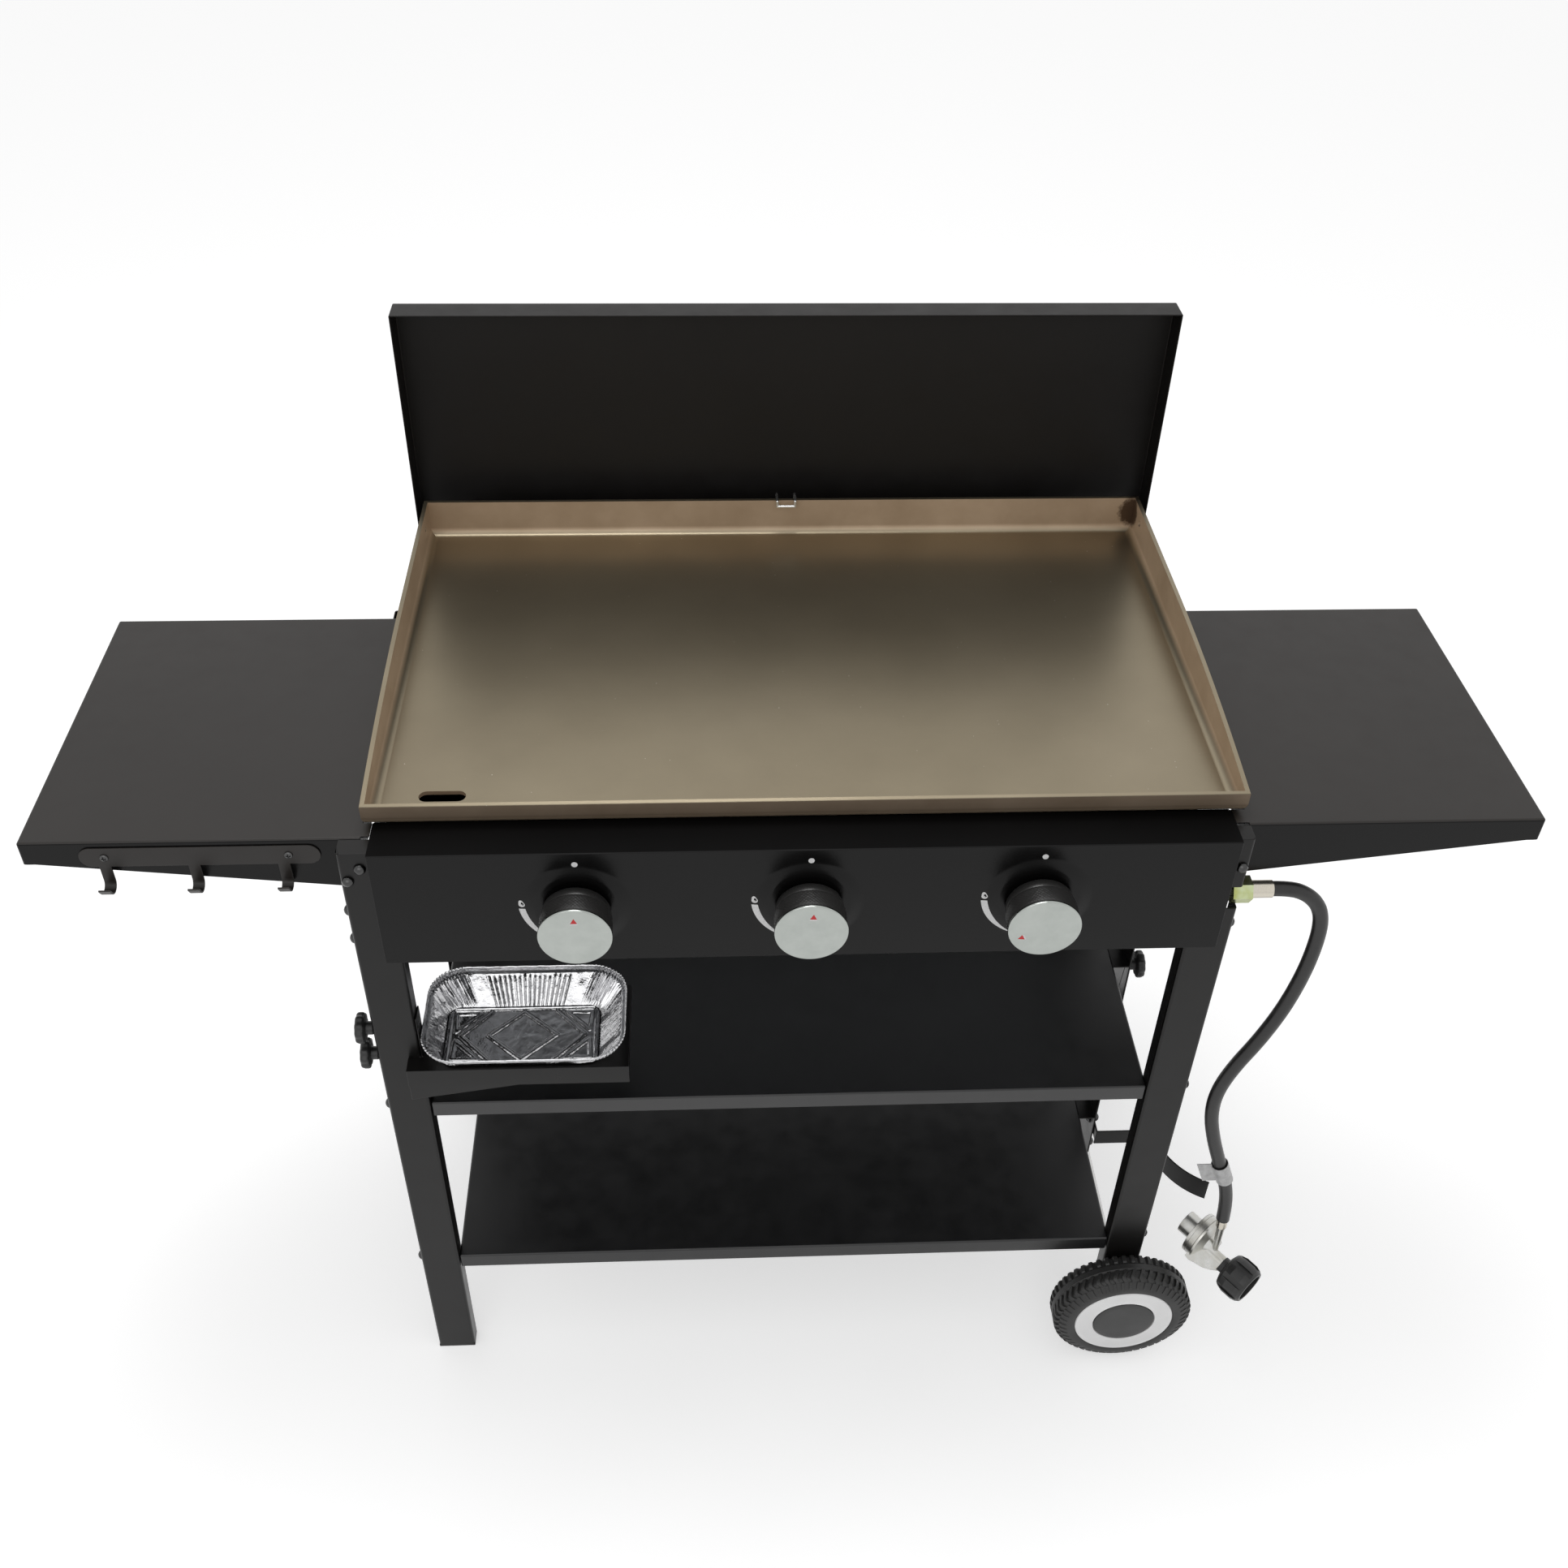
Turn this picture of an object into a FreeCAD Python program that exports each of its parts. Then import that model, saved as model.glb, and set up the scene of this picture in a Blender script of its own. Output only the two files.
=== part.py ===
"""Outdoor gas griddle station: a steel plate over a three-burner box on a
four-leg cart with two side shelves, two lower shelves, two wheels and a tank holder.

Millimetres, +Z up, +Y to the back, +X to the right of a cook who stands in front.
Shapes are drawn from the middle of the cooking plate's front rim and moved at the end,
so that the origin is on the ground under the middle of the station.
"""
import FreeCAD
import Part
import math
import os

V = FreeCAD.Vector

# Driving dimensions, in mm
PLATE_W = 763.5            # 30 inch class cooking plate, outside
PLATE_D = 472.0
PLATE_T = 4.0
PLATE_BEND = 8.0           # inside radius between the plate's floor and its walls
FLOOR_Z = 763.5            # cooking height, top of the plate's floor
RIM_FRONT = 782.5
RIM_MIDDLE = 797.1         # height of the side walls halfway along their curved rise
RIM_REAR = 802.0
RISE_END = 280.0           # where the side walls reach their full height
DRAIN = (-318.0, 35.6, 41.0, 14.0)     # grease slot: middle in X and Y, length, width
LIFT_HOLE = (438.0, 788.0)             # small holes in the side walls, in Y and Z
DECK_Z = 757.5             # top of the burner box under the plate
LEDGE_Z = 761.5            # top of the front ledge
LEDGE_BACK = 4.5
SHELF_Z = 760.0            # top of the side shelves
SHEET = 1.5                # folded sheet steel of the box, legs and brackets
THIN = 1.2                 # sheet of the four shelves
GAP = 0.3                  # air between faces of pieces that move apart

LEG_W = 40.0
LEG_D = 18.5
LEG_LEFT = -400.0          # outer face of the left legs
LEG_RIGHT = 382.5          # outer face of the right legs
LEG_FRONT = -33.3          # front face of the front legs
LEG_BACK = 335.0           # back face of the rear legs
LEG_LINE = 9.3             # screws in a leg's sides stand this far behind its face
FOOT = 3.0
RIGHT_LEG_END = 52.0

PANEL_L = -374.0
PANEL_R = 370.0
PANEL_Y = -38.5
PANEL_BOTTOM = 633.3
BOX_BACK = 455.0

KNOB_X = (-201.5, -1.0, 199.5)
KNOB_Z = 699.2
KNOB_R = 32.0
KNOB_OUT = 36.2            # how far a knob's body stands out from the panel
BOSS = 2.5                 # how far the pressed boss round a knob stands out
PUSH = 3.0                 # push travel of a gas knob
STEM_R = 4.0
PIPE_Y = -22.0
PIPE_Z = 662.0
INLET_Z = 690.0
INLET_X = 376.0            # where the inlet nut meets the manifold
NUT_END = 393.5
BURNER_R = 15.0
BURNER_END = 438.0

WHEEL_X = 365.5
WHEEL_R = 76.5
WHEEL_W = 39.0
WHEEL_GAP = 3.2            # between a leg's face and the wheel beside it
RING_R = 54.0              # outside of the wheel's ring, inside of its tyre
AXLE_R = 6.0

MID_Z = 430.2
LOW_Z = 173.6
LIP = 19.5                 # depth of the two lower shelves' folded lips
LOW_BACK = 333.0

SHELF_L = -667.8           # outer edge of the left side shelf
SHELF_R = 645.5
SHELF_IN = 382.0           # both side shelves stop here, beside the plate
SHELF_FRONT = -13.7
SHELF_BACK = 315.8
FOLD_R = 2.4               # rounding of the shelves' folded edges

RAIL_Z = 744.0             # middle of the hook rail
RAIL_HALF = 10.3
RAIL_X0 = -619.0
RAIL_X1 = -417.0
HOOK_X = (-599.5, -525.0, -449.5)
HOOK_W = 10.0
HOOK_R = 7.0               # middle of the hook's curl
HOOK_LOW = 710.0

HOOD_LEFT = -392.5
HOOD_RIGHT = 395.2
HOOD_TOP = 1006.0
HOOD_BOTTOM = 516.0
HOOD_FRONT = 476.0
HOOD_BACK = 507.0
HANDLE_OUT = 42.0          # how far the cover's handle stands out behind it
WIRE = 1.5                 # radius of the cover's wire hanger
HANGER_LOW = 768.0         # where the hanger is fixed inside the cover

CARRIER_Z = 500.0          # top of the grease tray carrier
CARRIER = (-372.0, -165.0, -50.0, 54.0)    # its left, right, front and back
TRAY = (-357.4, -167.0, -68.0, 55.0)       # left, right, front and back of the foil tray's bead
TRAY_RISE = 30.0
HAND_KNOB_R = 15.0
SCREW_R = 3.0              # clamping screws of the hand knobs
CARRIER_KNOB_Z = (497.4, 532.6)
CARRIER_KNOB_Y = LEG_FRONT + LEG_LINE
TANK_X = 362.0             # inner face of the bottle holder's upright
TANK_T = 2.0
TANK_KNOB_Y = 150.0
TANK_KNOB_Z = 413.0
TANK_PLATE = (138.6, 186.0, 96.0, 470.0)   # front, back, bottom and top of the upright
BOTTLE = (516.0, 131.0, 84.0)              # middle in X and Y and inner radius of the curved arm
ARM_Z = (120.0, 150.0)

FACE_BOLTS = ((-381.6, 743), (-393.4, 729), (376.2, 727.5))    # X and Z, in the front legs' faces
LEFT_BOLTS = (686.5, 652, 423.5, 167.5)    # Z, in the outer sides of the left legs
RIGHT_BOLTS = (652, 424.5, 172)
ARM_BOLTS = (156, 176)                     # Y, from the arm's tab through the upright
TANK_BOLTS = (158, 113)                    # Z, at the upright's front edge

HOSE_R = 7.0
HOSE_START = (413.5, PIPE_Y, INLET_Z)
HOSE_ROUTE = (HOSE_START, (431, -22, 690), (447.5, -22.5, 683), (460, -23.5, 670.5), (466.5, -25, 654),
              (468, -27, 629), (465, -29, 589), (456, -30, 540), (441, -31, 495), (424, -32, 458),
              (413.5, -33, 422), (414, -34, 387), (423, -36, 351), (435, -37, 316), (450, -38, 277),
              (457, -39, 243), (457.8, -41, 218))
TAG_RUN = (435, -37, 316), (450, -38, 277)
PORT_END = (461, -40, 160)         # where the hose's port runs into the regulator
REGULATOR_MIDDLE = (449.0, -18.0, 158.5)
REGULATOR_AXIS = (0.6220, -0.7782, -0.0864)
STEM_SIDE = (-0.6762, -0.4782, -0.5604)    # the outlet stem stands beside the axis, this way
STEM_SHIFT = 8.4
STEM_OUT = 6.4             # radius of the outlet stem's end, which the coupling nut turns on
NUT_FROM = 39.4            # start of the coupling nut along the stem
NUT_LENGTH = 36.8
COUPLING_R = 16.0          # bore of the coupling nut that screws on a gas bottle
COUPLING_DEPTH = 23.0

# Middle of the station between its side shelves, and from the front wheel to the cover's handle,
# measured from the middle of the plate's front rim
MIDDLE_X = (SHELF_L + SHELF_R) / 2
MIDDLE_Y = (LEG_FRONT - WHEEL_GAP - WHEEL_W + HOOD_BACK + HANDLE_OUT) / 2

parts = {}


def block(x0, x1, y0, y1, z0, z1):
    return Part.makeBox(x1 - x0, y1 - y0, z1 - z0, V(x0, y0, z0))


def rod(start, end, radius):
    a = V(*start)
    b = V(*end)
    return Part.makeCylinder(radius, (b - a).Length, a, b - a)


def tube(start, end, outer, inner):
    return rod(start, end, outer).cut(rod(start, end, inner))


def hex_bar(start, end, across):
    a = V(*start)
    b = V(*end)
    bar = Part.Face(Part.makePolygon([V(across / math.sqrt(3) * math.cos(math.radians(60 * k + 30)),
                                        across / math.sqrt(3) * math.sin(math.radians(60 * k + 30)), 0)
                                      for k in range(7)])).extrude(V(0, 0, (b - a).Length))
    bar.Placement = FreeCAD.Placement(a, FreeCAD.Rotation(V(0, 0, 1), b - a))
    return bar


def fuse(first, *others):
    return first.multiFuse(list(others)).removeSplitter()


def sheet_xz(points, y0, y1):
    """A flat plate whose outline is given in X and Z."""
    face = Part.Face(Part.makePolygon([V(x, y0, z) for x, z in points + points[:1]]))
    return face.extrude(V(0, y1 - y0, 0))


def sheet_yz(points, x0, x1):
    face = Part.Face(Part.makePolygon([V(x0, y, z) for y, z in points + points[:1]]))
    return face.extrude(V(x1 - x0, 0, 0))


def rounded_slab(x0, x1, y0, y1, z0, z1, radius):
    """An upright block with its four vertical edges rounded."""
    slab = block(x0, x1, y0, y1, z0, z1)
    upright = [e for e in slab.Edges if abs(e.tangentAt(e.FirstParameter).z) > 0.9]
    return slab.makeFillet(radius, upright)


def slot_cutter(x, y, length, width, z0, z1):
    half = (length - width) / 2
    ends = [rod((x + s * half, y, z0), (x + s * half, y, z1), width / 2) for s in (-1, 1)]
    return fuse(block(x - half, x + half, y - width / 2, y + width / 2, z0, z1), *ends)


def turned(profile, start, axis):
    """A turned piece: profile holds (distance along the axis, radius) from end to end."""
    points = [V(0, 0, profile[0][0])] + [V(r, 0, d) for d, r in profile] + [V(0, 0, profile[-1][0])]
    piece = Part.Face(Part.makePolygon(points + points[:1])).revolve(V(0, 0, 0), V(0, 0, 1), 360)
    piece.Placement = FreeCAD.Placement(V(*start), FreeCAD.Rotation(V(0, 0, 1), V(*axis)))
    return piece


def turned_ring(profile, start, axis):
    """A turned ring: profile is a closed outline of (distance along the axis, radius)."""
    points = [V(r, 0, d) for d, r in profile]
    piece = Part.Face(Part.makePolygon(points + points[:1])).revolve(V(0, 0, 0), V(0, 0, 1), 360)
    piece.Placement = FreeCAD.Placement(V(*start), FreeCAD.Rotation(V(0, 0, 1), V(*axis)))
    return piece


def group(pieces):
    return Part.makeCompound(pieces)


def bent_pan(inset, bottom, radius):
    """The space inside the plate's outline, shrunk by inset, with rounded edges at the bottom."""
    half = PLATE_W / 2 - inset
    pan = block(-half, half, inset, PLATE_D - inset, bottom, RIM_REAR + 20)
    low = [e for e in pan.Edges if e.BoundBox.ZMax < bottom + 0.01]
    return pan.makeFillet(radius, low)


def make_griddle_plate():
    """Cooking plate bent from one sheet, with side walls that rise in a curve to the back."""
    bottom = FLOOR_Z - PLATE_T
    rise = Part.Arc(V(0, 0, RIM_FRONT), V(0, RISE_END / 2, RIM_MIDDLE), V(0, RISE_END, RIM_REAR)).toShape()
    corners = [V(0, RISE_END, RIM_REAR), V(0, PLATE_D, RIM_REAR), V(0, PLATE_D, bottom), V(0, 0, bottom),
               V(0, 0, RIM_FRONT)]
    profile = Part.Face(Part.Wire([rise] + Part.makePolygon(corners).Edges)).extrude(V(PLATE_W, 0, 0))
    profile.translate(V(-PLATE_W / 2, 0, 0))
    outer = bent_pan(0, bottom, PLATE_BEND + PLATE_T).common(profile)
    plate = outer.cut(bent_pan(PLATE_T, FLOOR_Z, PLATE_BEND))
    plate = plate.cut(slot_cutter(*DRAIN, bottom - 1, FLOOR_Z + 1))
    plate = plate.cut(rod((-PLATE_W, *LIFT_HOLE), (PLATE_W, *LIFT_HOLE), 3))
    feet = [rod((x, y, DECK_Z + GAP), (x, y, bottom + 0.5), 6) for x in (-364, 356) for y in (40, 435)]
    return fuse(plate, *feet)


def make_foil_tray():
    """A pressed foil tray: a sloping-sided pan with a rolled bead."""
    def loop(x0, x1, y0, y1, z, radius):
        face = rounded_slab(x0, x1, y0, y1, z, z + 1, radius)
        return [f for f in face.Faces if abs(f.BoundBox.ZMax - z) < 0.01][0].OuterWire

    x0, x1, y0, y1 = TRAY
    side = 24.0                # how far the floor stands inside the bead's outline
    wall = 0.8
    bead = 5.0
    bottom = CARRIER_Z + GAP
    top = bottom + TRAY_RISE
    outside = Part.makeLoft([loop(x0 + side, x1 - side, y0 + side, y1 - side, bottom, 16),
                             loop(x0 + bead, x1 - bead, y0 + bead, y1 - bead, top, 30)], True, True)
    inside = Part.makeLoft([loop(x0 + side + wall, x1 - side - wall, y0 + side + wall, y1 - side - wall,
                                 bottom + wall, 15.2),
                            loop(x0 + bead + wall, x1 - bead - wall, y0 + bead + wall, y1 - bead - wall,
                                 top + wall, 29.2)], True, True)
    rim = rounded_slab(x0, x1, y0, y1, top - 3.5, top, 35)
    rim = rim.cut(rounded_slab(x0 + bead, x1 - bead, y0 + bead, y1 - bead, top - 4, top + 1, 30))
    return fuse(outside, rim).cut(inside)


def make_tray_carrier():
    """Shelf for the foil tray, notched round the front left leg and clamped to its side."""
    left, right, front, back = CARRIER
    depth = 22.5               # of the folded front lip
    under = CARRIER_Z - SHEET
    shelf = block(left, right, front, back, under, CARRIER_Z)
    leg_inside = LEG_LEFT + LEG_W + GAP
    shelf = shelf.cut(block(left - 1, leg_inside, LEG_FRONT - GAP, back + 1, under - 1, CARRIER_Z + 1))
    lip = block(left, right, front, front + SHEET, CARRIER_Z - depth, CARRIER_Z)
    brace_z = CARRIER_Z - depth + 1
    gusset = sheet_xz([(left, brace_z), (left + 120, brace_z), (left, CARRIER_Z - 43)],
                      front + SHEET, front + 2 * SHEET)
    tab = block(leg_inside, leg_inside + SHEET, LEG_FRONT + 1, LEG_FRONT + LEG_D,
                CARRIER_Z - 14, CARRIER_Z + 52)
    right_lip = block(right - SHEET, right, front, back, CARRIER_Z - 12, CARRIER_Z)
    carrier = fuse(shelf, lip, gusset, tab, right_lip)
    for z in CARRIER_KNOB_Z:
        carrier = carrier.cut(rod((left, CARRIER_KNOB_Y, z), (leg_inside + 5, CARRIER_KNOB_Y, z),
                                  SCREW_R + 0.05))
    return carrier


def make_hand_knob(start, axis, screw):
    """A fluted plastic clamping knob: a thin disc on a slim neck, with a steel screw."""
    a = V(*axis)
    neck = turned([(0.7, 6.2), (7.5, 6.2)], start, axis)
    body = turned([(7.4, 12.5), (8.4, 14.4), (10.0, HAND_KNOB_R), (14.0, HAND_KNOB_R), (16.4, 12.5)],
                  start, axis)
    flutes = []
    turn = FreeCAD.Rotation(V(0, 0, 1), a)
    for k in range(10):
        angle = math.radians(36 * k)
        spot = V(*start) + turn.multVec(V(19.0 * math.cos(angle), 19.0 * math.sin(angle), 6))
        flutes.append(Part.makeCylinder(4.8, 12, spot, a))
    body = body.cut(Part.makeCompound(flutes))
    stud = Part.makeCylinder(SCREW_R, screw + 3, V(*start) - a * screw, a)
    return fuse(neck, body, stud)


def make_channel(x0, y_face, inward, z0, z1, cap):
    """An upright leg: a folded channel with its web on y_face, and a cap of this thickness."""
    y_open = y_face + inward * LEG_D
    low, high = min(y_face, y_open), max(y_face, y_open)
    leg = block(x0, x0 + LEG_W, low, high, z0, z1)
    web = [e for e in leg.Edges if abs(e.tangentAt(e.FirstParameter).z) > 0.9
           and abs(e.BoundBox.YMin - y_face) < 0.01]
    leg = leg.makeFillet(3, web)
    hollow_from = y_face + inward * SHEET
    hollow_to = y_open + inward
    return leg.cut(block(x0 + SHEET, x0 + LEG_W - SHEET, min(hollow_from, hollow_to),
                         max(hollow_from, hollow_to), z0 - 1, z1 - cap if cap else z1 + 1))


def make_legs():
    right = LEG_RIGHT - LEG_W
    legs = {
        "leg_front_left": make_channel(LEG_LEFT, LEG_FRONT, 1, FOOT, LEDGE_Z - SHEET, SHEET),
        "leg_front_right": make_channel(right, LEG_FRONT, 1, RIGHT_LEG_END, LEDGE_Z - SHEET, SHEET),
        "leg_rear_left": make_channel(LEG_LEFT, LEG_BACK, -1, FOOT, DECK_Z - SHEET, 0),
        "leg_rear_right": make_channel(right, LEG_BACK, -1, RIGHT_LEG_END, DECK_Z - SHEET, 0),
    }
    for z in CARRIER_KNOB_Z:
        hole = rod((LEG_LEFT - 5, CARRIER_KNOB_Y, z), (LEG_LEFT + LEG_W + 5, CARRIER_KNOB_Y, z), 3.3)
        legs["leg_front_left"] = legs["leg_front_left"].cut(hole)
    axle_hole = rod((WHEEL_X, -60, WHEEL_R), (WHEEL_X, 360, WHEEL_R), AXLE_R)
    for name in ("leg_front_right", "leg_rear_right"):
        legs[name] = legs[name].cut(axle_hole)
    window = fuse(block(PANEL_R + 1, LEG_RIGHT + 1, LEG_FRONT - 1, LEG_FRONT + 26,
                        INLET_Z - 13, INLET_Z + 13),
                  rod((right - 5, PIPE_Y, INLET_Z), (LEG_RIGHT + 5, PIPE_Y, INLET_Z), 9))
    legs["leg_front_right"] = legs["leg_front_right"].cut(window)
    return legs


def folded_tray(x0, x1, y0, y1, top, depth, thickness):
    """A shelf of folded sheet: a flat top with a lip down on all four sides."""
    outer = rounded_slab(x0, x1, y0, y1, top - depth, top, FOLD_R)
    outer = outer.makeFillet(FOLD_R - 0.2, [e for e in outer.Edges if e.BoundBox.ZMin > top - 0.01])
    return outer.cut(block(x0 + thickness, x1 - thickness, y0 + thickness, y1 - thickness,
                           top - depth - 1, top - thickness))


def make_side_shelf(side):
    """Side shelf: flat top, straight outer skirt, deeper skirts towards the legs."""
    outer = SHELF_L if side < 0 else SHELF_R
    inner = side * SHELF_IN
    shallow, deep, flat = 24.0, 57.0, 10.5

    def across(distance):
        return outer - side * distance

    outline = [(outer, SHELF_Z), (inner, SHELF_Z), (inner, SHELF_Z - deep),
               (across(flat), SHELF_Z - shallow), (outer, SHELF_Z - shallow)]
    body = sheet_xz(outline, SHELF_FRONT, SHELF_BACK)
    inside = [(across(THIN), SHELF_Z - THIN), (inner + side * THIN, SHELF_Z - THIN),
              (inner + side * THIN, SHELF_Z - deep - 9), (across(THIN), SHELF_Z - deep - 9)]
    shelf = body.cut(sheet_xz(inside, SHELF_FRONT + THIN, SHELF_BACK - THIN))
    end = sorted((inner - side, inner + 2 * side * THIN))
    shelf = shelf.cut(block(*end, SHELF_FRONT + THIN + 12, SHELF_BACK - THIN - 12,
                            SHELF_Z - deep - 9, SHELF_Z - shallow))
    folds = [e for e in shelf.Edges if e.BoundBox.ZMax > SHELF_Z - 1 and
             (abs(e.BoundBox.XMin - outer) < 0.01 and abs(e.BoundBox.XMax - outer) < 0.01
              or e.BoundBox.ZMin > SHELF_Z - 0.01 and e.BoundBox.XLength > 100)]
    shelf = shelf.makeFillet(FOLD_R, folds)
    tongue_end = PANEL_L - 0.6 if side < 0 else PANEL_R + 0.6
    tongue = block(min(tongue_end, inner + side), max(tongue_end, inner + side), SHELF_FRONT + FOLD_R, 6,
                   SHELF_Z - THIN, SHELF_Z)
    return fuse(shelf, tongue)


def make_hook_rail():
    """Hook rail: a flat strip screwed to the shelf's front, with three turned-up hooks."""
    front = SHELF_FRONT - SHEET
    strip = block(RAIL_X0, RAIL_X1, front, SHELF_FRONT, RAIL_Z - RAIL_HALF, RAIL_Z + RAIL_HALF)
    ends = [e for e in strip.Edges if abs(e.tangentAt(e.FirstParameter).y) > 0.9]
    strip = strip.makeFillet(RAIL_HALF - 0.2, ends)
    thick = SHEET / 2
    mid_y = front + thick - HOOK_R
    mid_z = HOOK_LOW + HOOK_R + thick
    lean = math.radians(30)
    end_y = mid_y - HOOK_R * math.cos(lean)
    end_z = mid_z - HOOK_R * math.sin(lean)
    hooks = []
    for x in HOOK_X:
        left, right = x - HOOK_W / 2, x + HOOK_W / 2
        shank = block(left, right, front, SHELF_FRONT, mid_z, RAIL_Z - 5)
        curl = tube((left, mid_y, mid_z), (right, mid_y, mid_z), HOOK_R + thick, HOOK_R - thick)
        keep = sheet_yz([(mid_y, mid_z), (SHELF_FRONT + 5, mid_z), (SHELF_FRONT + 5, HOOK_LOW - 5),
                         (mid_y - 20 * math.cos(lean), HOOK_LOW - 5),
                         (mid_y - 20 * math.cos(lean), mid_z - 20 * math.sin(lean))], left, right)
        tip = block(left, right, -thick, thick, -0.2, 7)
        tip.Placement = FreeCAD.Placement(V(0, end_y, end_z), FreeCAD.Rotation(V(1, 0, 0), 30))
        hooks += [shank, curl.common(keep), tip]
    return fuse(strip, *hooks)


def panel_boss(x, y_shift, grow):
    """The pressed boss round a knob, as a low solid dome on the panel's front."""
    return turned([(0, 49 + grow), (0.15 * BOSS, 46 + grow), (0.5 * BOSS, 42 + grow),
                   (0.85 * BOSS, 38 + grow), (BOSS, 35 + grow)], (x, PANEL_Y + y_shift, KNOB_Z), (0, -1, 0))


def make_control_panel():
    """Front panel folded back along its top into the ledge in front of the plate."""
    face = block(PANEL_L, PANEL_R, PANEL_Y, PANEL_Y + SHEET, PANEL_BOTTOM, LEDGE_Z)
    ledge = block(PANEL_L, PANEL_R, PANEL_Y, LEDGE_BACK, LEDGE_Z - SHEET, LEDGE_Z)
    step = block(PANEL_L, PANEL_R, LEDGE_BACK - SHEET, LEDGE_BACK, DECK_Z - SHEET, LEDGE_Z)
    flange = block(PANEL_L, PANEL_R, LEDGE_BACK - SHEET, 10, DECK_Z - SHEET, DECK_Z)
    inner_l = LEG_LEFT + LEG_W + 0.5
    inner_r = LEG_RIGHT - LEG_W - 0.5
    foot = block(inner_l, inner_r, PANEL_Y, -16, PANEL_BOTTOM, PANEL_BOTTOM + SHEET)
    sides = [block(x, x + SHEET, PANEL_Y, LEG_FRONT, PANEL_BOTTOM, LEDGE_Z)
             for x in (PANEL_L, PANEL_R - SHEET)]
    panel = fuse(face, ledge, step, flange, foot, *sides)
    panel = panel.fuse([panel_boss(x, 0, 0) for x in KNOB_X]).removeSplitter()
    for x in KNOB_X:
        panel = panel.cut(panel_boss(x, SHEET, -0.3))
        panel = panel.cut(rod((x, -60, KNOB_Z), (x, -20, KNOB_Z), STEM_R + 3))
    corners = [e for e in panel.Edges if abs(e.tangentAt(e.FirstParameter).x) > 0.9
               and abs(e.BoundBox.YMin - PANEL_Y) < 0.01 and e.BoundBox.ZMax > LEDGE_Z - 0.01]
    return panel.makeFillet(1.2, corners)


def make_body_shell():
    """Burner box: two sides, front and rear walls and the deck flanges under the plate."""
    left = LEG_LEFT + LEG_W + 0.5
    right = LEG_RIGHT - LEG_W - 0.5
    bottom = PANEL_BOTTOM
    front = 11.0
    walls = [
        block(left, left + SHEET, PANEL_Y + SHEET, BOX_BACK, bottom + SHEET, DECK_Z - SHEET),
        block(right - SHEET, right, PANEL_Y + SHEET, BOX_BACK, bottom + SHEET, DECK_Z - SHEET),
        block(left, right, BOX_BACK - SHEET, BOX_BACK, bottom, DECK_Z),
        block(left, right, front, front + SHEET, bottom, DECK_Z),
        block(PANEL_L, left + SHEET, front, BOX_BACK, DECK_Z - SHEET, DECK_Z),
        block(right - SHEET, PANEL_R, front, BOX_BACK, DECK_Z - SHEET, DECK_Z),
        block(PANEL_L, PANEL_R, BOX_BACK - SHEET, PLATE_D - 4, DECK_Z - SHEET, DECK_Z),
        block(left, left + 16, front, BOX_BACK, bottom, bottom + SHEET),
        block(right - 16, right, front, BOX_BACK, bottom, bottom + SHEET),
    ]
    shell = fuse(*walls)
    for x in KNOB_X:
        shell = shell.cut(rod((x, 0, KNOB_Z), (x, 30, KNOB_Z), BURNER_R + 0.5))
        shell = shell.cut(rod((x + 30, 0, KNOB_Z + 14), (x + 30, 30, KNOB_Z + 14), 4))
    inlet = rod((right - 10, PIPE_Y, INLET_Z), (right + 10, PIPE_Y, INLET_Z), 7)
    shell = shell.cut(inlet)
    vents = [slot_cutter(x, 0, 60, 8, 0, 20) for x in (-240, -80, 80, 240)]
    for vent in vents:
        vent.Placement = FreeCAD.Placement(V(0, BOX_BACK + 10, 660), FreeCAD.Rotation(V(1, 0, 0), 90))
        shell = shell.cut(vent)
    return shell


def make_burner(x):
    """A straight steel tube burner with a closed rear end, an air mouth and two rows of ports."""
    burner = tube((x, 4, KNOB_Z), (x, BURNER_END, KNOB_Z), BURNER_R, BURNER_R - 1)
    burner = fuse(burner, rod((x, BURNER_END - 1, KNOB_Z), (x, BURNER_END, KNOB_Z), BURNER_R),
                  block(x - 2, x + 2, BURNER_END, BURNER_END + 14, KNOB_Z - 8, KNOB_Z + 8))
    ports = [rod((x + s * 8, y, KNOB_Z + 6), (x + s * 20, y, KNOB_Z + 18), 1.2)
             for s in (-1, 1) for y in range(60, 430, 24)]
    return burner.cut(Part.makeCompound(ports))


def make_heat_shield():
    """Sheet under the burners, with a rear rail that carries them and a grease hole."""
    left = LEG_LEFT + LEG_W + 2.5
    right = LEG_RIGHT - LEG_W - 2.5
    z = PANEL_BOTTOM + SHEET
    floor = block(left, right, 13, BOX_BACK - 2, z, z + THIN)
    x, y, length, width = DRAIN
    hole_x, hole_y = length / 2 + 7.5, width / 2 + 10
    floor = floor.cut(block(x - hole_x, x + hole_x, y - hole_y, y + hole_y, z - 1, z + 3))
    rail = block(left, right, BURNER_END + 3, BURNER_END + 3 + THIN, z, KNOB_Z + 24)
    for x in KNOB_X:
        rail = rail.cut(block(x - 2.2, x + 2.2, BURNER_END, BURNER_END + 9, KNOB_Z - 8.2, KNOB_Z + 8.2))
    return fuse(floor, rail)


def make_valve(x):
    """Gas valve: a brass body on the manifold with its jet inside the burner's mouth."""
    body = block(x - 11, x + 11, -31, -8, KNOB_Z - 12, KNOB_Z + 12)
    saddle = block(x - 8, x + 8, PIPE_Y - 7, PIPE_Y + 7, PIPE_Z + 7, KNOB_Z - 11)
    jet = turned([(0, 8), (8, 8), (9, 4), (19, 4)], (x, -8.5, KNOB_Z), (0, 1, 0))
    valve = fuse(body, saddle, jet)
    return valve.cut(rod((x, -32, KNOB_Z), (x, -20, KNOB_Z), STEM_R + 0.05))


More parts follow.
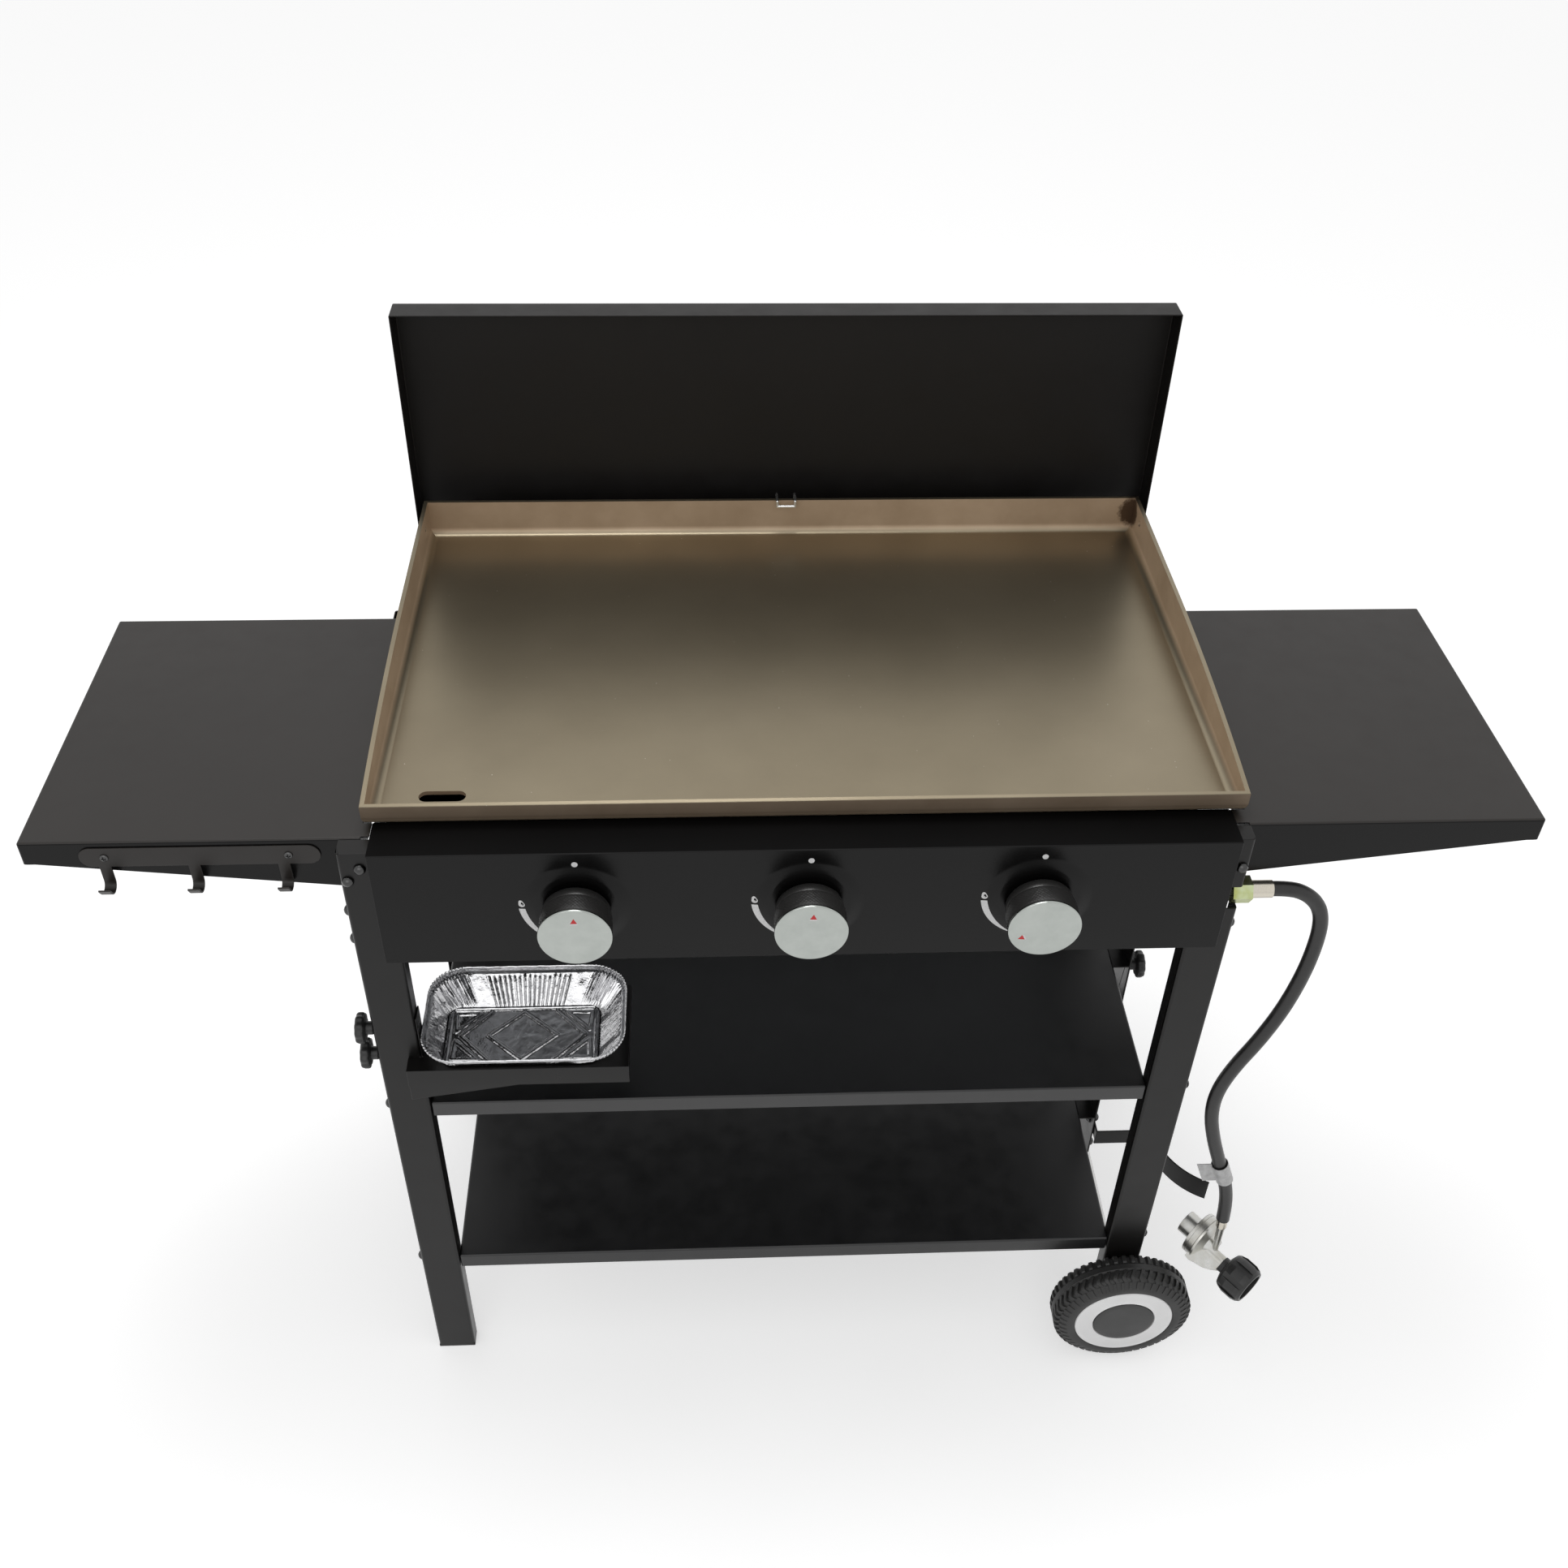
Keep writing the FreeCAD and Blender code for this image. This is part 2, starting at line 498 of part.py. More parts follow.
def make_manifold():
    ends = ((-232, PIPE_Y, PIPE_Z), (318, PIPE_Y, PIPE_Z), (318, PIPE_Y, INLET_Z),
            (INLET_X, PIPE_Y, INLET_Z))
    runs = [rod(ends[0], ends[1], 7), rod(ends[1], ends[2], 6), rod(ends[2], ends[3], 6)]
    elbows = [Part.makeSphere(r, V(*p)) for p, r in ((ends[1], 7), (ends[2], 6))]
    pipe = fuse(*runs, *elbows)
    saddles = [block(x - 8, x + 8, PIPE_Y - 7, PIPE_Y + 7, PIPE_Z + 7, KNOB_Z) for x in KNOB_X]
    return pipe.cut(Part.makeCompound(saddles))


def make_igniter(x):
    """Spark electrode: a ceramic sleeve through the wall, its tip over the burner, its lead behind."""
    side, z = x + 30, KNOB_Z + 14
    lead = rod((side, -26, z), (side, 6, z), 1.5)
    ceramic = rod((side, 6, z), (side, 34, z), 3.5)
    tip = fuse(rod((side, 34, z), (side, 48, z), 1.2), rod((side, 48, z), (x + 15, 48, z + 5), 1.2),
               Part.makeSphere(1.2, V(side, 48, z)))
    return fuse(lead, ceramic, tip)


def make_gas_controls():
    for number, x in enumerate(KNOB_X, 1):
        back = PANEL_Y - BOSS - PUSH - 0.6
        front = PANEL_Y - KNOB_OUT
        depth = back - front
        knob = turned([(0, 28.4), (1, 29.6), (9.5, 30.4), (10, 31.1), (14, 31.6), (depth, 31.8)],
                      (x, back, KNOB_Z), (0, -1, 0))
        knob = knob.cut(rod((x, front - 1, KNOB_Z), (x, front + 2, KNOB_Z), 30.2))
        knob = knob.cut(rod((x, back + 1, KNOB_Z), (x, back - 14, KNOB_Z), STEM_R))
        face = turned([(0, 30.1), (2.1, 30.1), (2.2, KNOB_R), (3.0, KNOB_R), (3.8, 28.5), (4.4, 20),
                       (4.7, 8)], (x, front + 2, KNOB_Z), (0, -1, 0))
        parts["knob_%d" % number] = knob
        parts["knob_face_%d" % number] = face
        parts["valve_stem_%d" % number] = rod((x, back - 14, KNOB_Z), (x, -27, KNOB_Z), STEM_R)
        collar_y = PANEL_Y + 1.3
        parts["stem_collar_%d" % number] = tube((x, collar_y, KNOB_Z), (x, collar_y + 2, KNOB_Z),
                                                8, STEM_R + 0.05)
        parts["gas_valve_%d" % number] = make_valve(x)
        parts["burner_%d" % number] = make_burner(x)
    parts["igniters"] = group([make_igniter(x) for x in KNOB_X])
    parts["gas_manifold"] = make_manifold()


def make_wheel(name, face_y, outward):
    """One wheel. face_y is its outer side, outward is -1 for the front wheel, 1 for the rear."""
    start = (WHEEL_X, face_y, WHEEL_R)
    axis = (0, -outward, 0)
    width = WHEEL_W
    tyre = [(0.5, RING_R + 0.1), (0.5, 63.0), (3.0, 68.5), (7.5, 75.5), (9.0, WHEEL_R),
            (width - 2.0, WHEEL_R), (width - 0.5, 75.0), (width - 0.5, RING_R + 0.1)]
    rim = [(1.5, 35.0), (1.5, RING_R), (width - 1.5, RING_R), (width - 1.5, 50.0), (5.0, 50.0), (5.0, 13.0),
           (width - 2.0, 13.0), (width - 2.0, AXLE_R + 0.05), (6.0, AXLE_R + 0.05), (6.0, 8.0), (4.0, 8.0),
           (4.0, 35.0)]
    cap = [(0.0, 0.0), (0.0, 30.0), (2.0, 34.0), (3.9, 34.0), (3.9, 0.0)]
    parts[name + "_tyre"] = turned_ring(tyre, start, axis)
    parts[name + "_rim"] = turned_ring(rim, start, axis)
    parts[name + "_cap"] = turned_ring(cap, start, axis)


def make_tank_holder():
    """Gas bottle holder: an upright on the shelves' right ends, a curved arm and a clamp knob."""
    y0, y1, z0, z1 = TANK_PLATE
    out_x = TANK_X + TANK_T
    inner = LEG_RIGHT - LEG_W
    upright = block(TANK_X, out_x, y0, y1, z0, z1)
    ends = [e for e in upright.Edges if abs(e.tangentAt(e.FirstParameter).x) > 0.9]
    upright = upright.makeFillet(5, ends)
    for shelf_z in (MID_Z, LOW_Z):
        top = shelf_z - 8.9            # the feet stand against each shelf's folded lip
        foot = block(inner, out_x, y0, y1, top - TANK_T, top)
        tab = block(inner, inner + TANK_T, y0, y1, top - 10, top)
        upright = fuse(upright, foot, tab)
    parts["tank_upright"] = upright.cut(rod((TANK_X - 5, TANK_KNOB_Y, TANK_KNOB_Z),
                                            (TANK_X + 5, TANK_KNOB_Y, TANK_KNOB_Z), SCREW_R + 0.05))
    x, y, radius = BOTTLE
    low, high = ARM_Z
    ring = tube((x, y, low), (x, y, high), radius + TANK_T, radius)
    corners = [V(x, y, low), V(x - 136, y, low), V(x - 136, y - 111, low), V(x - 52, y - 111, low)]
    sector = Part.Face(Part.makePolygon(corners + corners[:1])).extrude(V(0, 0, high - low))
    arm = ring.common(sector)
    bar = block(out_x, x - radius, y - TANK_T, y, low + 8, high)
    tab = block(out_x, out_x + TANK_T, y - TANK_T, y + 41, low + 14, high)
    parts["tank_arm"] = fuse(arm, bar, tab)
    parts["tank_knob"] = make_hand_knob((out_x + GAP, TANK_KNOB_Y, TANK_KNOB_Z), (1, 0, 0), 6.0)


def make_bolts():
    """Screws and bolts of the frame, all alike: a domed head on a short shank."""
    heads = []

    def bolt(spot, axis, shank):
        a = V(*axis)
        dome = turned([(0, 5.25), (1.2, 5.25), (2.8, 4.4), (4.1, 2.8), (4.8, 1.0)], spot, axis)
        heads.append(fuse(dome, Part.makeCylinder(2.5, shank, V(*spot) - a * shank, a)))

    for x, z in FACE_BOLTS:
        bolt((x, LEG_FRONT, z), (0, -1, 0), 1.4)
    for z in LEFT_BOLTS:
        bolt((LEG_LEFT, LEG_FRONT + LEG_LINE, z), (-1, 0, 0), 1.4)
        bolt((LEG_LEFT, LEG_BACK - LEG_LINE, z), (-1, 0, 0), 1.4)
    for z in RIGHT_BOLTS:
        bolt((LEG_RIGHT, LEG_FRONT + LEG_LINE, z), (1, 0, 0), 1.4)
        bolt((LEG_RIGHT, LEG_BACK - LEG_LINE, z), (1, 0, 0), 1.4)
    for y in ARM_BOLTS:
        bolt((TANK_X, y, 142), (-1, 0, 0), 1.9)
    for z in TANK_BOLTS:
        bolt((TANK_X + TANK_T, 145, z), (1, 0, 0), 1.9)
    return group(heads)


def make_rail_screws():
    face = SHELF_FRONT - SHEET
    return group([fuse(turned([(0, 3.6), (0.8, 3.6), (2.0, 2.2)], (x, face, RAIL_Z), (0, -1, 0)),
                       rod((x, face + 0.9, RAIL_Z), (x, face, RAIL_Z), 2))
                  for x in (-598, -444)])


def make_hood():
    """Lift-off cover: a shallow folded pan, hung upright behind the plate."""
    outer = block(HOOD_LEFT, HOOD_RIGHT, HOOD_FRONT, HOOD_BACK, HOOD_BOTTOM, HOOD_TOP)
    edges = [e for e in outer.Edges if e.BoundBox.YMin > HOOD_BACK - 1 and e.Length > 100]
    outer = outer.makeFillet(3, edges)
    corners = [e for e in outer.Edges if abs(e.tangentAt(e.FirstParameter).y) > 0.9]
    outer = outer.makeFillet(1.4, corners)
    inside_y = HOOD_BACK - SHEET
    cover = outer.cut(block(HOOD_LEFT + SHEET, HOOD_RIGHT - SHEET, HOOD_FRONT - 1, inside_y,
                            HOOD_BOTTOM + SHEET, HOOD_TOP - SHEET))
    parts["hood_cover"] = cover
    over = RIM_REAR + GAP + WIRE
    hook_y = 462.5
    back_y = 477.5
    left, right = -8.5, 10.5
    wires = [block(-18, 20, inside_y - 1.5, inside_y, HANGER_LOW - 11, HANGER_LOW + 11),
             rod((left, hook_y, over - 6), (right, hook_y, over - 6), WIRE)]
    for x in (left, right):
        bends = [(x, hook_y, over - 6), (x, hook_y, over), (x, back_y, over), (x, back_y, HANGER_LOW),
                 (x, inside_y - 1, HANGER_LOW)]
        wires += [rod(a, b, WIRE) for a, b in zip(bends, bends[1:])]
        wires += [Part.makeSphere(WIRE, V(*spot)) for spot in bends[:-1]]
    parts["hood_hanger"] = fuse(*wires)
    grip_r = 8
    grip_y = HOOD_BACK + HANDLE_OUT - grip_r
    grip = rod((-90, grip_y, 640), (90, grip_y, 640), grip_r)
    posts = [rod((x, HOOD_BACK, 640), (x, grip_y, 640), 6) for x in (-75, 75)]
    parts["hood_handle"] = fuse(grip, *posts)


def cord_path(route):
    """Straight runs joined by tangent arcs, each as large as its two runs allow."""
    points = [V(*p) for p in route]
    edges = []
    radii = []
    last = points[0]
    for before, corner, after in zip(points, points[1:], points[2:]):
        into = corner - before
        out = after - corner
        turn = into.getAngle(out)
        reach = 0.45 * min(into.Length, out.Length)
        radii.append(reach / math.tan(turn / 2))
        into.normalize()
        out.normalize()
        first = corner - into * reach
        second = corner + out * reach
        inward = out - into
        inward.normalize()
        middle = corner + inward * (radii[-1] / math.cos(turn / 2) - radii[-1])
        edges.append(Part.LineSegment(last, first).toShape())
        edges.append(Part.Arc(first, middle, second).toShape())
        last = second
    edges.append(Part.LineSegment(last, points[-1]).toShape())
    return Part.Wire(edges), radii


def make_hose():
    path, radii = cord_path(HOSE_ROUTE)
    start = V(*HOSE_ROUTE[0])
    along = V(*HOSE_ROUTE[1]) - start
    ring = Part.Wire(Part.makeCircle(HOSE_R, start, along))
    hose = path.makePipeShell([ring], True, False)
    print("hose length %.1f, volume over section x length %.4f" %
          (path.Length, hose.Volume / (math.pi * HOSE_R ** 2 * path.Length)))
    print("hose radii in diameters", [round(r / (2 * HOSE_R), 1) for r in radii])
    return hose


def make_hose_fittings():
    """Inlet nut, the hose's two ferrules and its tag."""
    parts["inlet_nut"] = hex_bar((INLET_X, PIPE_Y, INLET_Z), (NUT_END, PIPE_Y, INLET_Z), 22)
    end = V(*HOSE_ROUTE[-1])
    down = end - V(*HOSE_ROUTE[-2])
    down.normalize()
    low = end + down * 12
    parts["hose_ferrules"] = group([tube((NUT_END, PIPE_Y, INLET_Z), HOSE_START, 8.2, 3),
                                    rod(tuple(end), tuple(low), 5.6)])
    tag_from, tag_to = (V(*p) for p in TAG_RUN)
    tag_run = tag_to - tag_from
    tag_run.normalize()
    middle = (tag_from + tag_to) * 0.5
    collar = Part.makeCylinder(8.9, 28, middle - tag_run * 14, tag_run)
    collar = collar.cut(Part.makeCylinder(8.3, 30, middle - tag_run * 15, tag_run))
    lean = 14 * tag_run.x / tag_run.z
    flag = sheet_xz([(middle.x - 24 + s * lean, middle.z + s * 14) for s in (-1, 1)] +
                    [(middle.x - 8.8 + s * lean, middle.z + s * 14) for s in (1, -1)],
                    middle.y - 1, middle.y - 0.2)
    parts["hose_tag"] = fuse(collar, flag)
    return low


def make_regulator(ferrule_end):
    """Gas regulator: a spring cap, flanged halves, a cast web to the outlet stem, and a hose port."""
    axis = V(*REGULATOR_AXIS)
    side = V(*STEM_SIDE)
    across = axis.cross(side)
    middle = V(*REGULATOR_MIDDLE)

    def spot(along, out, over):
        return middle + axis * along + side * out + across * over

    body = turned([(-19.5, 12.8), (-19, 13.3), (-3.2, 13.3), (-3.2, 24.6), (-2.6, 25.4), (0.4, 25.4),
                   (0.6, 24.6), (1.4, 24.6), (1.6, 25.6), (6.8, 25.6), (7, 24.6), (7.8, 24.6), (8, 26.5),
                   (10, 26), (15, 14), (24, 9)], REGULATOR_MIDDLE, tuple(axis))
    outline = [spot(*p) for p in ((5, 0, -8), (5, 29, -8), (9.5, 30, -8), (15, 28.5, -8), (24.6, 26.5, -8),
                                  (32.6, 22.5, -8), (39, 18, -8), (39, 5, -8), (20, 0, -8))]
    web = Part.Face(Part.makePolygon(outline + outline[:1])).extrude(across * 16)
    stem_base = Part.makeCylinder(8.2, NUT_FROM - 10.3, spot(10, STEM_SHIFT, 0), axis)
    stem = Part.makeCylinder(STEM_OUT, NUT_FROM + 1, spot(10, STEM_SHIFT, 0), axis)
    reach = V(*PORT_END) - ferrule_end
    port = Part.makeCone(4.4, 3.2, reach.Length, ferrule_end, reach)
    regulator = fuse(body, web, stem_base, stem, port)
    parts["regulator"] = regulator.cut(parts["hose_ferrules"])


def make_coupling_nut():
    """Coupling nut for the gas bottle: a neck that turns on the stem and a lobed grip."""
    axis = V(*REGULATOR_AXIS)
    start = V(*REGULATOR_MIDDLE) + V(*STEM_SIDE) * STEM_SHIFT + axis * NUT_FROM
    grip = turned([(0, 9.0), (5.3, 9.0), (5.4, 13.5), (7.6, 19.2), (10, 20.8), (16.5, 22.8), (28.5, 22.8),
                   (33.5, 21.3), (NUT_LENGTH, 18.9)], tuple(start), tuple(axis))
    turn = FreeCAD.Rotation(V(0, 0, 1), axis)
    grooves = []
    for k in range(8):
        groove = block(20.6, 30, -3.2, 3.2, 9, NUT_LENGTH + 1)
        groove.Placement = FreeCAD.Placement(start, turn.multiply(FreeCAD.Rotation(V(0, 0, 1), 45 * k)))
        grooves.append(groove)
    grip = grip.cut(Part.makeCompound(grooves))
    grip = grip.cut(Part.makeCylinder(STEM_OUT + 0.05, NUT_LENGTH, start - axis, axis))
    bore_from = start + axis * (NUT_LENGTH - COUPLING_DEPTH)
    parts["coupling_nut"] = grip.cut(Part.makeCylinder(COUPLING_R, COUPLING_DEPTH + 1, bore_from, axis))


def make_gas_supply():
    parts["hose"] = make_hose()
    ferrule_end = make_hose_fittings()
    make_regulator(ferrule_end)
    make_coupling_nut()


def make_all():
    parts["griddle_plate"] = make_griddle_plate()
    parts["foil_tray"] = make_foil_tray()
    parts["tray_carrier"] = make_tray_carrier()
    for name, z in zip(("carrier_knob_lower", "carrier_knob_upper"), CARRIER_KNOB_Z):
        parts[name] = make_hand_knob((LEG_LEFT - GAP, CARRIER_KNOB_Y, z), (-1, 0, 0), LEG_W + 1.8)
    parts.update(make_legs())
    parts["foot_caps"] = group([block(LEG_LEFT, LEG_LEFT + LEG_W, y, y + LEG_D, 0, FOOT)
                                for y in (LEG_FRONT, LEG_BACK - LEG_D)])
    shelf_l = LEG_LEFT + LEG_W + 0.4
    shelf_r = LEG_RIGHT - LEG_W - 0.4
    for name, top in (("mid_shelf", MID_Z), ("bottom_shelf", LOW_Z)):
        parts[name] = folded_tray(shelf_l, shelf_r, -31.5, LOW_BACK, top, LIP, THIN)
    parts["side_shelf_left"] = make_side_shelf(-1)
    parts["side_shelf_right"] = make_side_shelf(1)
    parts["rail_screws"] = make_rail_screws()
    parts["hook_rail"] = make_hook_rail().cut(parts["rail_screws"])
    parts["frame_bolts"] = make_bolts()
    parts["control_panel"] = make_control_panel()
    parts["body_shell"] = make_body_shell()
    parts["heat_shield"] = make_heat_shield()
    make_gas_controls()
    make_wheel("wheel_front", LEG_FRONT - WHEEL_GAP - WHEEL_W, -1)
    make_wheel("wheel_rear", LEG_BACK + WHEEL_GAP + WHEEL_W, 1)
    parts["axle"] = rod((WHEEL_X, LEG_FRONT - 36, WHEEL_R), (WHEEL_X, LEG_BACK + 36, WHEEL_R), AXLE_R)
    parts["axle_nuts"] = group([tube((WHEEL_X, y, WHEEL_R), (WHEEL_X, y + t, WHEEL_R), 11, AXLE_R)
                                for y, t in ((LEG_FRONT - 2.6, 2.6), (LEG_FRONT + SHEET, 5),
                                             (LEG_BACK - SHEET - 5, 5), (LEG_BACK, 2.6))])
    make_tank_holder()
    for name in ("leg_front_left", "leg_front_right", "leg_rear_left", "leg_rear_right", "tank_upright"):
        parts[name] = parts[name].cut(parts["frame_bolts"])
    make_hood()
    make_gas_supply()


make_all()
os.makedirs("parts", exist_ok=True)
total = FreeCAD.BoundBox()
CORD_NODES = ("hose", "hose_ferrules", "hose_tag", "regulator", "coupling_nut")
for name, shape in parts.items():
    shape.translate(V(-MIDDLE_X, -MIDDLE_Y, 0))
    if name not in CORD_NODES:
        total.add(shape.BoundBox)
    bad = [s for s in shape.Solids if not s.isValid()]
    if bad or not shape.Solids:
        print("not a valid solid:", name)
    shape.exportStep("parts/%s.step" % name)
print(len(parts), "nodes; the box's middle is off by", round(total.Center.x, 3), round(total.Center.y, 3))
print("box", [round(v, 1) for v in (total.XMin, total.XMax, total.YMin, total.YMax, total.ZMin, total.ZMax)])
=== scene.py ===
"""Looks of an outdoor gas griddle station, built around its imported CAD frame.

Lengths in the sections are millimetres from the middle of the cooking plate's front rim,
as on the part's drawing, and place() turns them into the frame's metres. The hose's
route, the room and the depths within the finishes are in the frame's own metres.
"""
import math
import bpy
import bmesh
from mathutils import Matrix, Vector, noise


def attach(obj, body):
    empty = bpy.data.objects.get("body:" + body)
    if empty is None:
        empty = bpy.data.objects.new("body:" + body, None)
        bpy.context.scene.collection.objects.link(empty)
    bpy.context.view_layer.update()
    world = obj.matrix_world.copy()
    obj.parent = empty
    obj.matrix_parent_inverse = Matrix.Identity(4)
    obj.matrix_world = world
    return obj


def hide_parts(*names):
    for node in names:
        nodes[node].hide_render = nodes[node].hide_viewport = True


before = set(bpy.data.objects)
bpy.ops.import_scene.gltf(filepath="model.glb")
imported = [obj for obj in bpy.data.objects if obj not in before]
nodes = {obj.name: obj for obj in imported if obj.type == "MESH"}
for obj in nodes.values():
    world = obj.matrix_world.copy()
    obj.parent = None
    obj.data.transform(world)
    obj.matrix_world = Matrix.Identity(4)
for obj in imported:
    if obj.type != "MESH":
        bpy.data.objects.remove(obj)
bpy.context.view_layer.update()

# Cooking plate
# Plate of 4 mm hot rolled steel with bent and welded walls, ground along the welds and
# wiped with oil. Its warm olive colour has broad lighter and darker clouds of painted sheen,
# its upright walls are painted a lighter brown as painted light, and its outer front face is
# darkened as painted shade. It lies on the box by its own weight on four small feet.
STATION_X, STATION_Y = 11.15, -236.75     # from the plate's front rim to the frame's origin
HEAT_STAIN = (380, 470, 786)              # burnt spot at the rear right corner


def place(x, y, z):
    return Vector(((x + STATION_X) / 1000, (y + STATION_Y) / 1000, z / 1000))


def node(tree, kind, values=(), **settings):
    """One shader node; a value may be a number, a colour or another node's output."""
    made = tree.nodes.new("ShaderNode" + kind)
    for name, value in settings.items():
        setattr(made, name, value)
    for name, value in dict(values).items():
        if isinstance(value, bpy.types.NodeSocket):
            tree.links.new(value, made.inputs[name])
        else:
            made.inputs[name].default_value = value
    return made


def surface(name):
    """An empty material with its Principled shader and the piece's own coordinates."""
    made = bpy.data.materials.new(name)
    made.use_nodes = True
    tree = made.node_tree
    where = node(tree, "TexCoord").outputs["Object"]
    return made, tree, tree.nodes["Principled BSDF"], where


def feed(tree, shader, **values):
    """Sets or links the shader's sockets, with _ for the spaces in their names."""
    for name, value in values.items():
        socket = shader.inputs[name.replace("_", " ")]
        if isinstance(value, bpy.types.NodeSocket):
            tree.links.new(value, socket)
        else:
            socket.default_value = value


def grade(tree, value, stops):
    """A colour ramp; stops hold (place, grey level or colour)."""
    ramp = node(tree, "ValToRGB", {"Fac": value})
    points = ramp.color_ramp.elements
    while len(points) < len(stops):
        points.new(0.5)
    for point, (spot, level) in zip(points, stops):
        point.position = spot
        point.color = (*level, 1) if hasattr(level, "__len__") else (level, level, level, 1)
    return ramp.outputs["Color"]


def blend(tree, mode, share, first, second):
    made = node(tree, "Mix", data_type="RGBA", blend_type=mode)
    for spot, value in zip((0, 6, 7), (share, first, second)):
        if isinstance(value, bpy.types.NodeSocket):
            tree.links.new(value, made.inputs[spot])
        elif spot == 0:
            made.inputs[spot].default_value = value
        else:
            made.inputs[spot].default_value = (*value, 1)
    return made.outputs[2]


def raised(tree, height, strength, depth):
    return node(tree, "Bump", {"Height": height, "Strength": strength, "Distance": depth}).outputs["Normal"]


def between(tree, value, low, high):
    """0 below low, 1 above high and even in between."""
    return node(tree, "MapRange", {"Value": value, "From Min": low, "From Max": high}).outputs["Result"]


def clouds(tree, where, scale, detail, rough, stretch=None):
    if stretch:
        where = node(tree, "Mapping", {"Vector": where, "Scale": stretch}).outputs["Vector"]
    return node(tree, "TexNoise", {"Vector": where, "Scale": scale, "Detail": detail,
                                   "Roughness": rough}).outputs["Fac"]


def dress(material, *names):
    """Gives CAD nodes their finish."""
    for name in names:
        slots = nodes[name].data.materials
        slots.clear()
        slots.append(material)


def stain(tree, where, spot, reach, ragged):
    """A mask that is 0 round a place on the steel and 1 further off than reach, in metres."""
    away = node(tree, "VectorMath", {0: where, 1: place(*spot)}, operation="DISTANCE").outputs["Value"]
    edge = node(tree, "Math", {0: clouds(tree, where, 240, 3, 0.6), 1: ragged}, operation="MULTIPLY")
    total = node(tree, "Math", {0: away, 1: edge.outputs[0]}, operation="ADD").outputs[0]
    return between(tree, total, 0.8 * reach, reach)


def rolled_steel():
    made, tree, shader, where = surface("rolled_plate_steel")
    broad = clouds(tree, where, 3.0, 3, 0.5)
    fine = clouds(tree, where, 300, 3, 0.6)
    cloud = clouds(tree, where, 16, 4, 0.6)
    # painted sheen: broad lighter and darker clouds in the olive colour stand in for reflected light
    tone = grade(tree, broad, [(0.36, (0.236, 0.198, 0.138)), (0.52, (0.268, 0.228, 0.160)),
                               (0.68, (0.298, 0.254, 0.181))])
    tone = blend(tree, "MULTIPLY", 0.25, tone, grade(tree, cloud, [(0.3, 0.74), (0.7, 1.0)]))
    # small pale specks, and only here and there
    speck = node(tree, "TexVoronoi", {"Vector": where, "Scale": 120.0, "Randomness": 1.0}).outputs["Distance"]
    pale = grade(tree, speck, [(0.045, 1.0), (0.07, 0.0)])
    rare = grade(tree, clouds(tree, where, 55, 2, 0.5), [(0.56, 0.0), (0.62, 1.0)])
    tone = blend(tree, "MIX", blend(tree, "MULTIPLY", 1.0, pale, rare), tone, (0.62, 0.58, 0.50))
    # painted light: the upright walls get a lighter brown colour that stands in for the light they reflect,
    # and are less metallic and rougher
    upward = node(tree, "SeparateXYZ", {0: node(tree, "TexCoord").outputs["Normal"]}).outputs["Z"]
    flat = node(tree, "Math", {0: upward}, operation="ABSOLUTE").outputs[0]
    skin = between(tree, flat, 0.25, 0.85)
    painted_wall_light = grade(tree, cloud, [(0.3, (0.41, 0.300, 0.200)), (0.7, (0.51, 0.385, 0.270))])
    tone = blend(tree, "MIX", skin, painted_wall_light, tone)
    burnt = stain(tree, where, HEAT_STAIN, 0.026, 0.012)
    tone = blend(tree, "MULTIPLY", 1.0, tone, grade(tree, burnt, [(0.0, (0.17, 0.13, 0.10)), (1.0, 1.0)]))
    # painted shade: the outer face over the front panel is darkened
    depth = node(tree, "SeparateXYZ", {0: where}).outputs["Y"]
    front = STATION_Y / 1000
    inside = between(tree, depth, front + 0.00015, front + 0.00125)
    tone = blend(tree, "MULTIPLY", 1.0, tone, grade(tree, inside, [(0.0, 0.42), (1.0, 1.0)]))
    feed(tree, shader, Base_Color=tone, Metallic=grade(tree, skin, [(0.0, 0.45), (1.0, 0.94)]),
         Roughness=grade(tree, skin, [(0.0, 0.55), (1.0, 0.33)]), Normal=raised(tree, fine, 0.12, 0.0003))
    return made


PLATE_STEEL = rolled_steel()
dress(PLATE_STEEL, "griddle_plate")

# Lift-off cover
# Folded sheet with a matt black coat, hung upright behind the plate on a bright wire
# bracket that is riveted inside it. A bar handle is bolted to its outside.


def soften(width, *names):
    """Rounds the folds and cut edges of CAD nodes by a little, in mm."""
    for name in names:
        seam = nodes[name].modifiers.new("Seam", "WELD")
        seam.merge_threshold = 0.00001
        edge = nodes[name].modifiers.new("Edge", "BEVEL")
        edge.width = width / 1000
        edge.segments = 2
        edge.limit_method = "ANGLE"
        edge.angle_limit = math.radians(35)
        edge.use_clamp_overlap = False
        even = nodes[name].modifiers.new("Even", "WEIGHTED_NORMAL")
        even.weight = 80


def effect(name, takes, gives):
    """A shader node group with named sockets; takes holds (name, kind, value)."""
    group = bpy.data.node_groups.new(name, "ShaderNodeTree")
    for label, kind, value in takes:
        socket = group.interface.new_socket(label, in_out="INPUT", socket_type="NodeSocket" + kind)
        if value is not None:
            socket.default_value = value
    for label, kind in gives:
        group.interface.new_socket(label, in_out="OUTPUT", socket_type="NodeSocket" + kind)
    return group, group.nodes.new("NodeGroupInput").outputs, group.nodes.new("NodeGroupOutput").inputs


